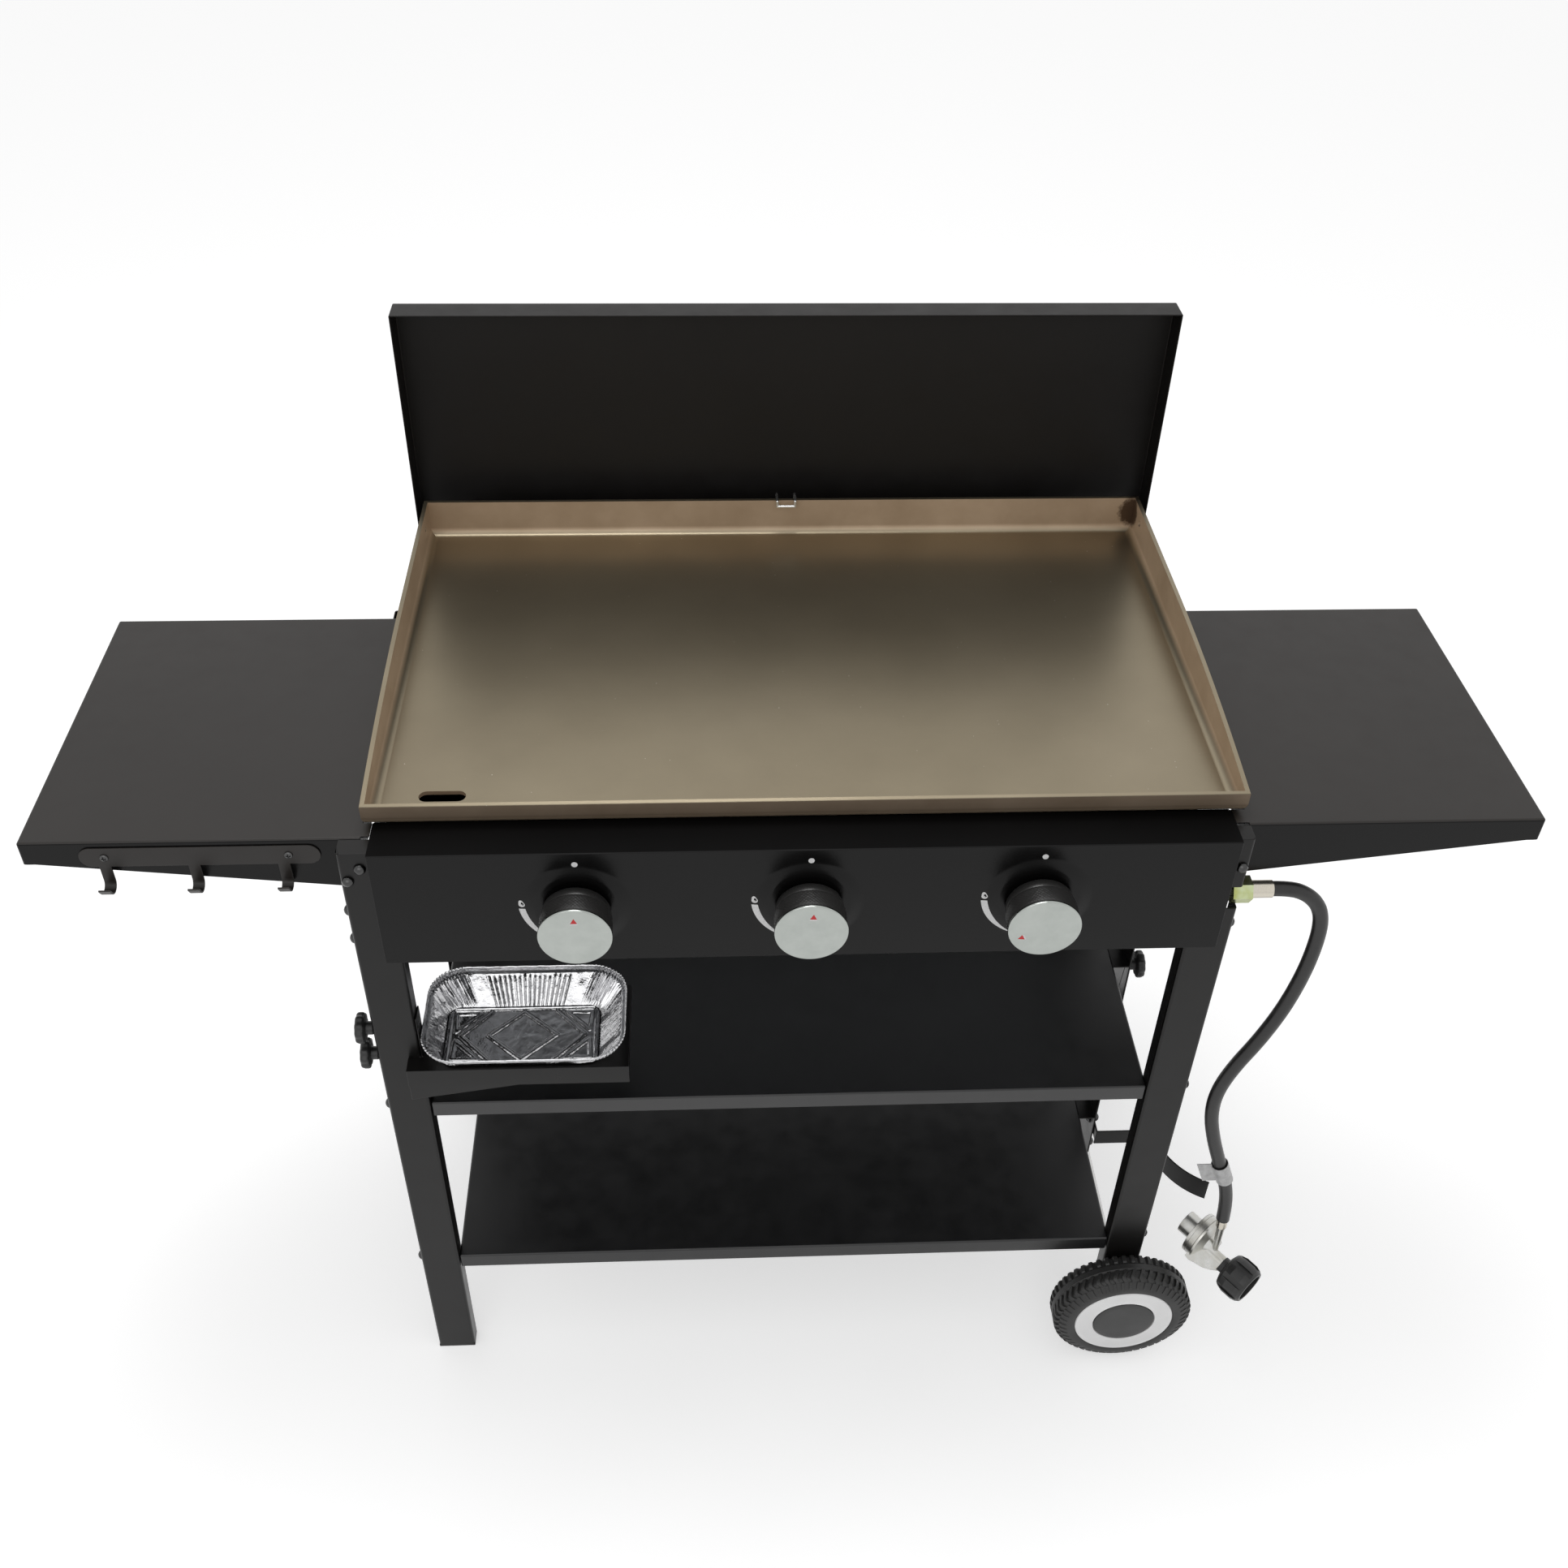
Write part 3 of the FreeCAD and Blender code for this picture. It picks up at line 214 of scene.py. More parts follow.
def coat_group():
    """Clouded colour, uneven gloss and fine grain of a coated or moulded surface."""
    group, given, out = effect(
        "Powder coat",
        [("Vector", "Vector", None), ("Shade", "Color", (0.03, 0.03, 0.03, 1)),
         ("Light", "Color", (0.05, 0.05, 0.05, 1)), ("Roughness", "Float", 0.45), ("Grain", "Float", 900.0)],
        [("Colour", "Color"), ("Roughness", "Float"), ("Height", "Float")])
    cloud = clouds(group, given["Vector"], 5.0, 5, 0.6)
    wipe = clouds(group, given["Vector"], 38.0, 3, 0.55)
    grain = node(group, "TexNoise", {"Vector": given["Vector"], "Scale": given["Grain"], "Detail": 2.0})
    mask = grade(group, cloud, [(0.3, 0.0), (0.7, 1.0)])
    shift = node(group, "Math", {0: wipe, 1: 0.5}, operation="SUBTRACT")
    scaled = node(group, "Math", {0: shift.outputs[0], 1: 0.22}, operation="MULTIPLY")
    total = node(group, "Math", {0: scaled.outputs[0], 1: given["Roughness"]}, operation="ADD")
    group.links.new(blend(group, "MIX", mask, given["Shade"], given["Light"]), out["Colour"])
    group.links.new(total.outputs[0], out["Roughness"])
    group.links.new(grain.outputs["Fac"], out["Height"])
    return group


COAT = coat_group()


def coated(name, shade, light, rough, grain=900.0, bump=0.12, gloss=0.5):
    """Powder coated steel or moulded plastic: an even coat with a fine orange peel."""
    made, tree, shader, where = surface(name)
    coat = node(tree, "Group", node_tree=COAT)
    tree.links.new(where, coat.inputs["Vector"])
    coat.inputs["Shade"].default_value = (*shade, 1)
    coat.inputs["Light"].default_value = (*light, 1)
    coat.inputs["Roughness"].default_value = rough
    coat.inputs["Grain"].default_value = grain
    feed(tree, shader, Base_Color=coat.outputs["Colour"], Roughness=coat.outputs["Roughness"],
         Specular_IOR_Level=gloss, Normal=raised(tree, coat.outputs["Height"], bump, 0.0003))
    return made


HOOD_PAINT = coated("hood_matt_coat", (0.0042, 0.0035, 0.0032), (0.0068, 0.0058, 0.0053), 0.48, 700,
                    gloss=0.26)
dress(HOOD_PAINT, "hood_cover", "hood_handle")
soften(0.8, "hood_cover", "hood_handle")


def bright_metal(name, tone, rough, streak=(1, 1, 1), bump=0.05, tint=None):
    """Plated or bare metal: an even tone, broken by fine streaks in one direction."""
    made, tree, shader, where = surface(name)
    fine = clouds(tree, where, 420, 3, 0.6, streak)
    broad = clouds(tree, where, 45, 3, 0.5)
    colour = blend(tree, "MULTIPLY", 0.35, tone, grade(tree, fine, [(0.3, 0.7), (0.65, 1.0)]))
    if tint:
        colour = blend(tree, "MIX", grade(tree, broad, [(0.42, 0.0), (0.62, 1.0)]), colour, tint)
    level = grade(tree, broad, [(0.3, rough * 0.8), (0.7, rough * 1.25)])
    feed(tree, shader, Base_Color=colour, Metallic=1.0, Roughness=level,
         Normal=raised(tree, fine, bump, 0.0004))
    return made


WIRE = bright_metal("bright_zinc_wire", (0.74, 0.74, 0.73), 0.24)
dress(WIRE, "hood_hanger")

# Burner box and front panel
# The box is folded sheet with a satin black coat. Its front panel has a pressed boss
# round each knob, and the dial marks are printed on it in white.
KNOBS = {1: -201.5, 2: -1.0, 3: 199.5}    # each knob's number and place
KNOB_HEIGHT = 699.2
PANEL_FACE = -38.5
BOSS = ((35, 2.5), (38, 2.125), (42, 1.25), (46, 0.375), (49, 0.0), (80, 0.0))    # radius, height
PRINT = 0.12                              # thickness of the print
MARK_STEPS = 24
CRESCENT_FROM, CRESCENT_SWEEP = 181, 62   # degrees round the knob's axis


def second_coat(name, material, towards, least):
    """Another finish for those faces of a CAD node that look towards a direction, as painted light or shade.
    """
    mesh = nodes[name].data
    mesh.materials.append(material)
    for face in mesh.polygons:
        face.material_index = int(face.normal.dot(Vector(towards)) > least)


def piece(name, points, faces, body, slot, material, smooth=32, stands_for=()):
    """A mesh piece from points in mm that rides on a CAD body."""
    mesh = bpy.data.meshes.new(name)
    mesh.from_pydata([place(*p) for p in points], [], faces)
    work = bmesh.new()
    work.from_mesh(mesh)
    bmesh.ops.recalc_face_normals(work, faces=work.faces)
    work.to_mesh(mesh)
    work.free()
    mesh.shade_smooth()
    mesh.set_sharp_from_angle(angle=math.radians(smooth))
    mesh.materials.append(material)
    made = bpy.data.objects.new(name, mesh)
    bpy.context.scene.collection.objects.link(made)
    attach(made, body)
    if stands_for:
        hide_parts(*stands_for)
    return made


def joined(*shapes):
    """Several (points, faces) as one."""
    points, faces = [], []
    for some, around in shapes:
        base = len(points)
        points += some
        faces += [tuple(i + base for i in f) for f in around]
    return points, faces


def loft(rings, closed=True, caps=True):
    """Faces over rings of equal length; each ring goes round, and closed joins its ends."""
    points = [p for ring in rings for p in ring]
    n = len(rings[0])
    turns = n if closed else n - 1
    faces = [(r * n + k, r * n + (k + 1) % n, (r + 1) * n + (k + 1) % n, (r + 1) * n + k)
             for r in range(len(rings) - 1) for k in range(turns)]
    if caps:
        faces += [tuple(reversed(range(n))), tuple(range((len(rings) - 1) * n, len(rings) * n))]
    return points, faces


def boss_height(r):
    """How far the panel's boss stands out at a radius round a knob's axis."""
    for (r0, h0), (r1, h1) in zip(BOSS, BOSS[1:]):
        if r0 <= r <= r1:
            return h0 + (h1 - h0) * (r - r0) / (r1 - r0)
    return BOSS[0][1]


def white_print():
    made, tree, shader, where = surface("white_print")
    worn = clouds(tree, where, 700, 3, 0.6)
    feed(tree, shader, Base_Color=grade(tree, worn, [(0.25, 0.62), (0.5, 0.82)]), Roughness=0.55)
    return made


def printed(x, outline):
    """A raised patch on the panel, from an outline in mm from a knob's axis."""
    rows = []
    for lift in (-0.05, PRINT):
        rows.append([(x + u, PANEL_FACE - boss_height(math.hypot(u, v)) - lift, KNOB_HEIGHT + v)
                     for u, v in outline])
    return loft(rows)


def circle(u, v, r, count, lift=0.0):
    """Points round a circle; lift draws a tip out of it, up and a little to the left."""
    points = []
    for k in range(count):
        a = 2 * math.pi * k / count
        reach = r + lift * max(0.0, math.cos(a - math.radians(104))) ** 6
        points.append((u + reach * math.cos(a), v + reach * math.sin(a)))
    return points


def dial_marks(x):
    """A dot above the knob, a drop to its left, and a crescent from the drop to the knob."""
    outer, inner = [], []
    for k in range(MARK_STEPS + 1):
        t = k / MARK_STEPS
        a = math.radians(CRESCENT_FROM + CRESCENT_SWEEP * t)
        for line, reach in ((outer, 50.1 - 5.3 * t), (inner, 44.5 - 7.4 * t + 7.1 * t * t)):
            line.append((reach * math.cos(a), reach * math.sin(a)))
    crescent = [printed(x, [outer[k], outer[k + 1], inner[k + 1], inner[k]]) for k in range(MARK_STEPS)]
    drop = circle(-47.3, 3.9, 2.75, MARK_STEPS, 2.4)
    hole = circle(-46.7, 4.2, 1.25, MARK_STEPS, 1.3)
    following = [(k + 1) % MARK_STEPS for k in range(MARK_STEPS)]
    drop_ring = [printed(x, [drop[k], drop[m], hole[m], hole[k]]) for k, m in enumerate(following)]
    speck = printed(x, circle(-47.2, 3.7, 0.5, 10))
    return joined(printed(x, circle(0.7, 49.7, 2.7, 28)), *crescent, *drop_ring, speck)


BOX_PAINT = coated("box_satin_coat", (0.0022, 0.0021, 0.0021), (0.0034, 0.0032, 0.0032), 0.24, gloss=0.18)
LEDGE_SHADE_PAINT = coated("ledge_painted_shade_coat", (0.0026, 0.0025, 0.0025), (0.0038, 0.0036, 0.0036), 0.5, gloss=0.03)
dress(BOX_PAINT, "control_panel", "body_shell")
# painted shade: the panel's upward faces, the ledge under the plate's lip, get a duller copy of the coat
second_coat("control_panel", LEDGE_SHADE_PAINT, (0, 0, 1), 0.9)
soften(0.6, "control_panel", "body_shell")
WHITE = white_print()
for number, x in KNOBS.items():
    piece("dial_marks_%d" % number, *dial_marks(x), "cart", "knob_chrome", WHITE)

# Gas knobs
# Black moulded barrel with a smooth foot and a knurled band, closed by a domed chrome
# cap with a rolled rim. A small red pointer with a white foot is printed on the cap.
KNOB_BACK = -44.6
CAP_START = -72.7
KNURLS, KNURL_ROWS = 60, 5                # bumps round the barrel and rows along it
KNURL_FROM, KNURL_LENGTH = 10.6, 16.8     # from the barrel's back
CAP_PROFILE = [(0.0, 29.5), (0.4, 31.6), (1.4, 31.9), (2.4, 31.95), (3.0, 31.75), (3.4, 31.3), (3.55, 30.7),
               (3.45, 30.2), (3.3, 29.9), (3.35, 29.4), (3.55, 27.5), (3.85, 23.0), (4.15, 18.0), (4.4, 12.0),
               (4.58, 6.0), (4.62, 2.0)]
FACE_R = 29.4                             # the cap's domed face inside its rim
POINTERS = {1: (0.0, 0.0), 2: (-3.3, 0.0), 3: (116.5, 2.2)}    # turn in degrees, shift outwards
POINTER_LOW, POINTER_LONG = 17.5, 5.0


def upright_pair(axis):
    """The axis and two directions across it, the second as upright as can be."""
    a = Vector(axis).normalized()
    side = a.cross(Vector((0, 0, 1)))
    if side.length < 0.01:
        side = Vector((1, 0, 0))
    side.normalize()
    return a, side, side.cross(a)


def turned(profile, start, axis, steps, shape=None, ring=False):
    """A turned piece; profile holds (distance along the axis, radius), shape may change a radius."""
    a, side, up = upright_pair(axis)
    rings = []
    for d, r in profile:
        row = []
        for k in range(steps):
            t = 2 * math.pi * k / steps
            reach = shape(d, t, r) if shape else r
            row.append(tuple(Vector(start) + a * d + (side * math.cos(t) + up * math.sin(t)) * reach))
        rings.append(row)
    if ring:
        rings.append(rings[0])
        return loft(rings, True, False)
    return loft(rings)


def moulded(name, shade, rough, bump=0.3, grain=1400.0):
    return coated(name, shade, tuple(c * 1.35 for c in shade), rough, grain, bump)


def chrome():
    made, tree, shader, where = surface("knob_chrome")
    smear = clouds(tree, where, 60, 3, 0.6)
    tone = grade(tree, smear, [(0.3, (0.365, 0.387, 0.366)), (0.7, (0.405, 0.427, 0.405))])
    polish = grade(tree, smear, [(0.3, 0.03), (0.7, 0.07)])
    feed(tree, shader, Base_Color=tone, Metallic=1.0, Roughness=polish)
    return made


def pointer_red():
    made, tree, shader, where = surface("pointer_red")
    worn = clouds(tree, where, 900, 2, 0.5)
    tone = grade(tree, worn, [(0.3, (0.50, 0.012, 0.015)), (0.7, (0.68, 0.02, 0.025))])
    feed(tree, shader, Base_Color=tone, Roughness=0.4)
    return made


def knurl(d, t, r):
    """Radius of the barrel: a smooth foot, then staggered rows of small uneven bumps."""
    row = (d - KNURL_FROM) / KNURL_LENGTH
    if row < 0 or row > 1:
        return r
    slant = KNURL_ROWS * math.pi * row
    wave = abs(math.cos(KNURLS * t / 2 + slant) * math.cos(KNURLS * t / 2 - slant))
    uneven = 0.75 + 0.5 * noise.noise(Vector((9 * math.cos(t), 9 * math.sin(t), 6 * row)))
    return r + 0.42 * uneven * wave * min(1.0, 8 * row, 8 * (1 - row))


def make_barrel(x):
    foot = [(0, 24.0), (0, 28.4), (0.3, 29.2), (1.0, 29.7), (5.0, 30.1), (9.2, 30.35), (9.5, 30.2),
            (9.8, 30.2), (10.1, 30.9)]
    band = [(KNURL_FROM + KNURL_LENGTH * k / 20, 31.1 + 0.25 * k / 20) for k in range(21)]
    lip = [(27.9, 31.7), (29.9, 31.75), (30.1, 31.5), (30.1, 24.0)]
    return turned(foot + band + lip, (x, KNOB_BACK, KNOB_HEIGHT), (0, -1, 0), 4 * KNURLS, knurl)


def cap_height(r):
    """How far the cap's face stands out at a radius."""
    inner = [(d, q) for d, q in CAP_PROFILE if q <= FACE_R]
    for (d0, r0), (d1, r1) in zip(inner, inner[1:]):
        if r1 <= r <= r0:
            return d0 + (d1 - d0) * (r0 - r) / (r0 - r1)
    return inner[-1][0]


def on_cap(x, turn, outline):
    """A patch on the cap, from an outline in mm with the pointer upwards."""
    a = math.radians(turn)
    flat = [(u * math.cos(a) - v * math.sin(a), u * math.sin(a) + v * math.cos(a)) for u, v in outline]
    rows = []
    for lift in (-0.2, 0.08):
        rows.append([(x + u, CAP_START - cap_height(math.hypot(u, v)) - lift, KNOB_HEIGHT + v)
                     for u, v in flat])
    return loft(rows)


KNOB_PLASTIC = moulded("knob_plastic", (0.017, 0.0165, 0.016), 0.30)
CHROME = chrome()
RED = pointer_red()
for number, x in KNOBS.items():
    body = "dial_%d" % number
    turn, shift = POINTERS[number]
    low = POINTER_LOW + shift
    high = low + POINTER_LONG
    red = [(-2.9, low), (2.9, low), (0.25, high), (-0.25, high)]
    foot = [(-3.1, low - 1.4), (3.1, low - 1.4), (3.2, low - 0.1), (-3.2, low - 0.1)]
    piece("knob_barrel_%d" % number, *make_barrel(x), body, "knob_black", KNOB_PLASTIC,
          stands_for=["knob_%d" % number])
    piece("knob_cap_%d" % number, *turned(CAP_PROFILE, (x, CAP_START, KNOB_HEIGHT), (0, -1, 0), 96),
          body, "knob_chrome", CHROME, 50, ["knob_face_%d" % number])
    piece("pointer_%d" % number, *on_cap(x, turn, red), body, "knob_chrome", RED)
    piece("pointer_foot_%d" % number, *on_cap(x, turn, foot), body, "knob_chrome", WHITE)

# Burners, valves and pipe
# Straight steel tube burners on a galvanised shield, each with a spark electrode, fed by
# brass stemmed alloy valves that are clamped on a black pipe behind the panel.
BRASS = bright_metal("machined_brass", (0.62, 0.44, 0.17), 0.26, (1, 8, 1))
ALLOY = bright_metal("cast_alloy", (0.52, 0.52, 0.52), 0.46, bump=0.25)
BURNER = bright_metal("burner_steel", (0.46, 0.44, 0.41), 0.40, (8, 1, 8), tint=(0.30, 0.25, 0.20))
SHIELD = bright_metal("galvanised_sheet", (0.50, 0.51, 0.52), 0.42, tint=(0.40, 0.41, 0.43))
GLAZE = coated("glazed_ceramic", (0.70, 0.67, 0.60), (0.78, 0.76, 0.70), 0.25, 300, 0.1)
PIPE = coated("pipe_coat", (0.014, 0.014, 0.014), (0.020, 0.020, 0.020), 0.45)
for number in KNOBS:
    dress(BRASS, "valve_stem_%d" % number)
    dress(ALLOY, "gas_valve_%d" % number, "stem_collar_%d" % number)
    dress(BURNER, "burner_%d" % number)
dress(SHIELD, "heat_shield")
dress(GLAZE, "igniters")
dress(PIPE, "gas_manifold")

# Legs, shelves and bolts
# Legs of folded channel and two folded shelves between them, powder coated black and held
# by black domed screws. The left legs stand on plastic caps.
LEGS = ("leg_front_left", "leg_front_right", "leg_rear_left", "leg_rear_right")
BRACKETS = ("tray_carrier", "tank_upright", "tank_arm")
LEG_PAINT = coated("frame_satin_coat", (0.0042, 0.0039, 0.0037), (0.0066, 0.0061, 0.0057), 0.32, gloss=0.26)
LOW_PAINT = coated("shelf_satin_coat", (0.0062, 0.0062, 0.0067), (0.0090, 0.0090, 0.0096), 0.34)
LIP_LIGHT_PAINT = coated("shelf_lip_painted_light_coat", (0.030, 0.0296, 0.0302), (0.038, 0.0376, 0.0382), 0.34, gloss=0.45)
BLACK_OXIDE = bright_metal("black_oxide", (0.075, 0.075, 0.075), 0.22)
CAP_PLASTIC = moulded("black_moulded_plastic", (0.014, 0.014, 0.014), 0.42)
dress(LEG_PAINT, *LEGS, *BRACKETS)
dress(LOW_PAINT, "mid_shelf", "bottom_shelf")
# painted light: the mid shelf's front faces get a much lighter copy of its coat
second_coat("mid_shelf", LIP_LIGHT_PAINT, (0, -1, 0), 0.9)
dress(BLACK_OXIDE, "frame_bolts")
dress(CAP_PLASTIC, "foot_caps")
soften(0.6, *LEGS, *BRACKETS, "mid_shelf", "bottom_shelf", "foot_caps")
soften(0.5, "frame_bolts")

# Side shelves and hook rail
# Folded sheet shelves with tapering skirts and a charcoal coat, which is darker on the skirts
# and undersides as painted shade. The left one carries a strip with three turned-up hooks,
# held by two cross head screws.
SIDE_PAINT = coated("side_shelf_coat", (0.0125, 0.0102, 0.0086), (0.0165, 0.0138, 0.0118), 0.40, gloss=0.36)
SCREW = bright_metal("black_screw", (0.10, 0.10, 0.10), 0.30)
RAIL_FACE, RAIL_Z, RAIL_SCREWS = -15.2, 744, (-598, -444)
HEAD_R = 3.6
HEAD = ((0, 1.0), (0.6, 1.0), (1.0, 0.94), (1.4, 0.8), (1.7, 0.62), (1.8, 0.5), (1.85, 0.4), (1.9, 0.3),
        (1.93, 0.2), (1.95, 0.08))        # height, and radius as a share of HEAD_R


def cross_head(start, axis):
    """A low domed screw head with a cross recess."""
    steps = 48
    a, side, up = upright_pair(axis)
    rings = []
    for d, share in HEAD:
        row = []
        for k in range(steps):
            t = 2 * math.pi * k / steps
            u, v = share * HEAD_R * math.cos(t), share * HEAD_R * math.sin(t)
            in_recess = min(abs(u), abs(v)) < 0.14 * HEAD_R and share < 0.55
            row.append(tuple(Vector(start) + a * (d - 0.9 * in_recess) + side * u + up * v))
        rings.append(row)
    return loft(rings)


dress(SIDE_PAINT, "side_shelf_left", "side_shelf_right", "hook_rail")
# painted shade: all but the shelves' upward faces take the darker box coat
second_coat("side_shelf_left", BOX_PAINT, (0, 0, -1), -0.5)
second_coat("side_shelf_right", BOX_PAINT, (0, 0, -1), -0.5)
soften(0.5, "side_shelf_left", "side_shelf_right")
soften(0.35, "hook_rail")
piece("hook_rail_screws", *joined(*(cross_head((x, RAIL_FACE, RAIL_Z), (0, -1, 0)) for x in RAIL_SCREWS)),
      "cart", "bolt_black", SCREW, stands_for=["rail_screws"])

# Hand knobs
# Thin fluted knobs of black plastic on slim necks and steel screws: two clamp the grease
# tray's carrier to the front left leg, and one clamps the gas bottle's holder.
FLUTES = 10
HAND_KNOBS = (                            # name, body, start, axis and length of its screw
    ("carrier_knob_lower", "lower_carrier_knob", (-400.3, -24.0, 497.4), (-1, 0, 0), 41.8),
    ("carrier_knob_upper", "upper_carrier_knob", (-400.3, -24.0, 532.6), (-1, 0, 0), 41.8),
    ("tank_knob", "bottle_knob", (364.3, 150.0, 413), (1, 0, 0), 6.0))


def flutes(d, t, r):
    return r - 0.55 * (1 + math.cos(FLUTES * t)) * min(1.0, max(0.0, (r - 8.0) / 5.0))


def make_hand_knob(start, axis):
    profile = [(0.7, 4.0), (0.7, 6.0), (1.0, 6.3), (6.8, 6.3), (7.3, 6.8), (7.5, 8.0), (7.7, 11.5),
               (8.2, 13.6), (9.0, 14.6), (10.4, 15.0), (13.4, 15.0), (14.8, 14.6), (15.8, 13.4),
               (16.3, 11.6), (16.4, 9.0), (16.0, 6.0), (15.8, 1.0)]
    return turned(profile, start, axis, 120, flutes)


def make_stud(start, axis, back):
    """The knob's screw, with the crests of its 1 mm thread, to inside the knob's neck."""
    thread = [(-back + 0.4 + 0.5 * k, 2.95 if k % 2 else 2.55) for k in range(2 * int(back))]
    profile = [(-back, 2.4)] + [(d, r) for d, r in thread if d < 1.4] + [(1.5, 2.9)]
    return turned(profile, start, axis, 24)


STEEL = bright_metal("zinc_plated_steel", (0.60, 0.60, 0.59), 0.28, (1, 1, 8))
for name, body, start, axis, back in HAND_KNOBS:
    piece(name + "_grip", *make_hand_knob(start, axis), body, "black_plastic", CAP_PLASTIC, 40, [name])
    piece(name + "_screw", *make_stud(start, axis, back), body, "screw_steel", STEEL)

# Grease tray
# A pressed aluminium foil pan on a sheet carrier: plain and ribbed walls, pleated corners,
# a curled rim, and a floor pressed with an outline, a diamond, chevrons and corner pads.
TRAY_X, TRAY_Y, TRAY_FLOOR, TRAY_RIM = -262.2, -5.3, 500.9, 530.0
MOUTH_HALF_X, MOUTH_HALF_Y, MOUTH_R = 90.0, 54.9, 30.0     # at the foot of the standing rim
LEDGE_DROP = 6.6                            # from the rim's top to its foot
RIM = ((0.4, -6.1), (1.6, -5.8), (2.7, -5.6), (3.0, -4.9), (3.1, -3.4), (3.3, -1.6), (3.6, -0.5),
       (4.3, 0.0), (4.9, -0.5), (5.1, -1.4), (4.8, -2.6))    # outwards and upwards
FLOOR_X, FLOOR_Y = -266.6, -10.1            # middle of the pressed floor
FLOOR_HALF_X, FLOOR_HALF_Y, FLOOR_R = 72.6, 35.8, 12.0
FLOOR_LINES = [(-32, 0, 0, 29.6), (0, 29.6, 32.4, 0), (32.4, 0, 0, -29.6), (0, -29.6, -32, 0)]
for sx in (-1, 1):
    for sy in (-1, 1):
        FLOOR_LINES += [(sx * 58.8, 0, sx * 31.6, sy * 29.6),
                        (sx * 65.4, sy * 28.0, sx * 41.0, sy * 28.6),
                        (sx * 41.0, sy * 28.6, sx * 63.6, sy * 5.6),
                        (sx * 63.6, sy * 5.6, sx * 65.4, sy * 28.0)]
AROUND, UP_WALL = 720, 14                   # divisions of the wall
ACROSS, DEEP = 208, 104                     # divisions of the floor
RIBS, RIB_SHARE = 17, 0.71                  # on each long side, and the share of it that they take
WAVES, WAVE_SHARE = 9, 0.72                 # the same on each short side


def foil():
    made, tree, shader, where = surface("crinkled_foil")
    fine = clouds(tree, where, 900, 3, 0.6)
    broad = clouds(tree, where, 130, 3, 0.6)
    dents = node(tree, "TexVoronoi", {"Vector": where, "Scale": 95.0}, feature="SMOOTH_F1")
    small = node(tree, "Math", {0: fine, 1: 0.12}, operation="MULTIPLY").outputs[0]
    large = node(tree, "Math", {0: dents.outputs["Distance"], 1: 0.5}, operation="MULTIPLY").outputs[0]
    height = node(tree, "Math", {0: broad, 1: small}, operation="ADD").outputs[0]
    total = node(tree, "Math", {0: height, 1: large}, operation="ADD").outputs[0]
    tone = grade(tree, broad, [(0.3, (0.46, 0.46, 0.47)), (0.7, (0.60, 0.60, 0.61))])
    polish = grade(tree, fine, [(0.3, 0.07), (0.7, 0.16)])
    feed(tree, shader, Base_Color=tone, Metallic=1.0, Roughness=polish,
         Normal=raised(tree, total, 0.5, 0.0012))
    return made


def rounded_outline(half_x, half_y, radius):
    """Points evenly round a rounded rectangle, from the right side on, each with its outward
    direction, the number of its side, its share along that side and its share of a corner."""
    sx, sy = half_x - radius, half_y - radius
    arc = math.pi / 2 * radius
    runs = [2 * sy, arc, 2 * sx, arc, 2 * sy, arc, 2 * sx, arc]
    result = []
    for k in range(AROUND):
        s = sum(runs) * k / AROUND
        leg = 0
        while s >= runs[leg]:
            s -= runs[leg]
            leg += 1
        side = leg // 2
        if leg % 2 == 0:
            base = ((half_x, -sy), (sx, half_y), (-half_x, sy), (-sx, -half_y))[side]
            step = ((0, 1), (-1, 0), (0, -1), (1, 0))[side]
            normal = ((1, 0), (0, 1), (-1, 0), (0, -1))[side]
            share = 2 * s / runs[leg] - 1
            result.append((base[0] + step[0] * s, base[1] + step[1] * s, normal, side, share, 0.0))
        else:
            a = side * math.pi / 2 + s / radius
            centre = ((sx, sy), (-sx, sy), (-sx, -sy), (sx, -sy))[side]
            corner = math.sin(math.pi * s / arc) ** 0.5
            result.append((centre[0] + radius * math.cos(a), centre[1] + radius * math.sin(a),
                           (math.cos(a), math.sin(a)), side, 0.0, corner))
    return result


def ridge(distance, half):
    """Height of a pressed bead at a distance from its middle line, from 0 to 1."""
    return 0.5 + 0.5 * math.cos(math.pi * min(1.0, abs(distance) / half))


def line_distance(x, y, ax, ay, bx, by):
    dx, dy = bx - ax, by - ay
    t = max(0.0, min(1.0, ((x - ax) * dx + (y - ay) * dy) / (dx * dx + dy * dy)))
    return math.hypot(x - ax - t * dx, y - ay - t * dy)


def floor_height(x, y):
    """Height of the pressed lines: flat topped beads, and two close ones round the edge."""
    near = min(line_distance(x, y, *line) for line in FLOOR_LINES)
    edge = min(FLOOR_HALF_X - abs(x), FLOOR_HALF_Y - abs(y))
    bead = min(1.0, max(0.0, 2.5 - near) / 1.3)
    return 1.4 * bead + 1.1 * max(ridge(edge - 1.2, 1.1), ridge(edge - 3.6, 1.1))


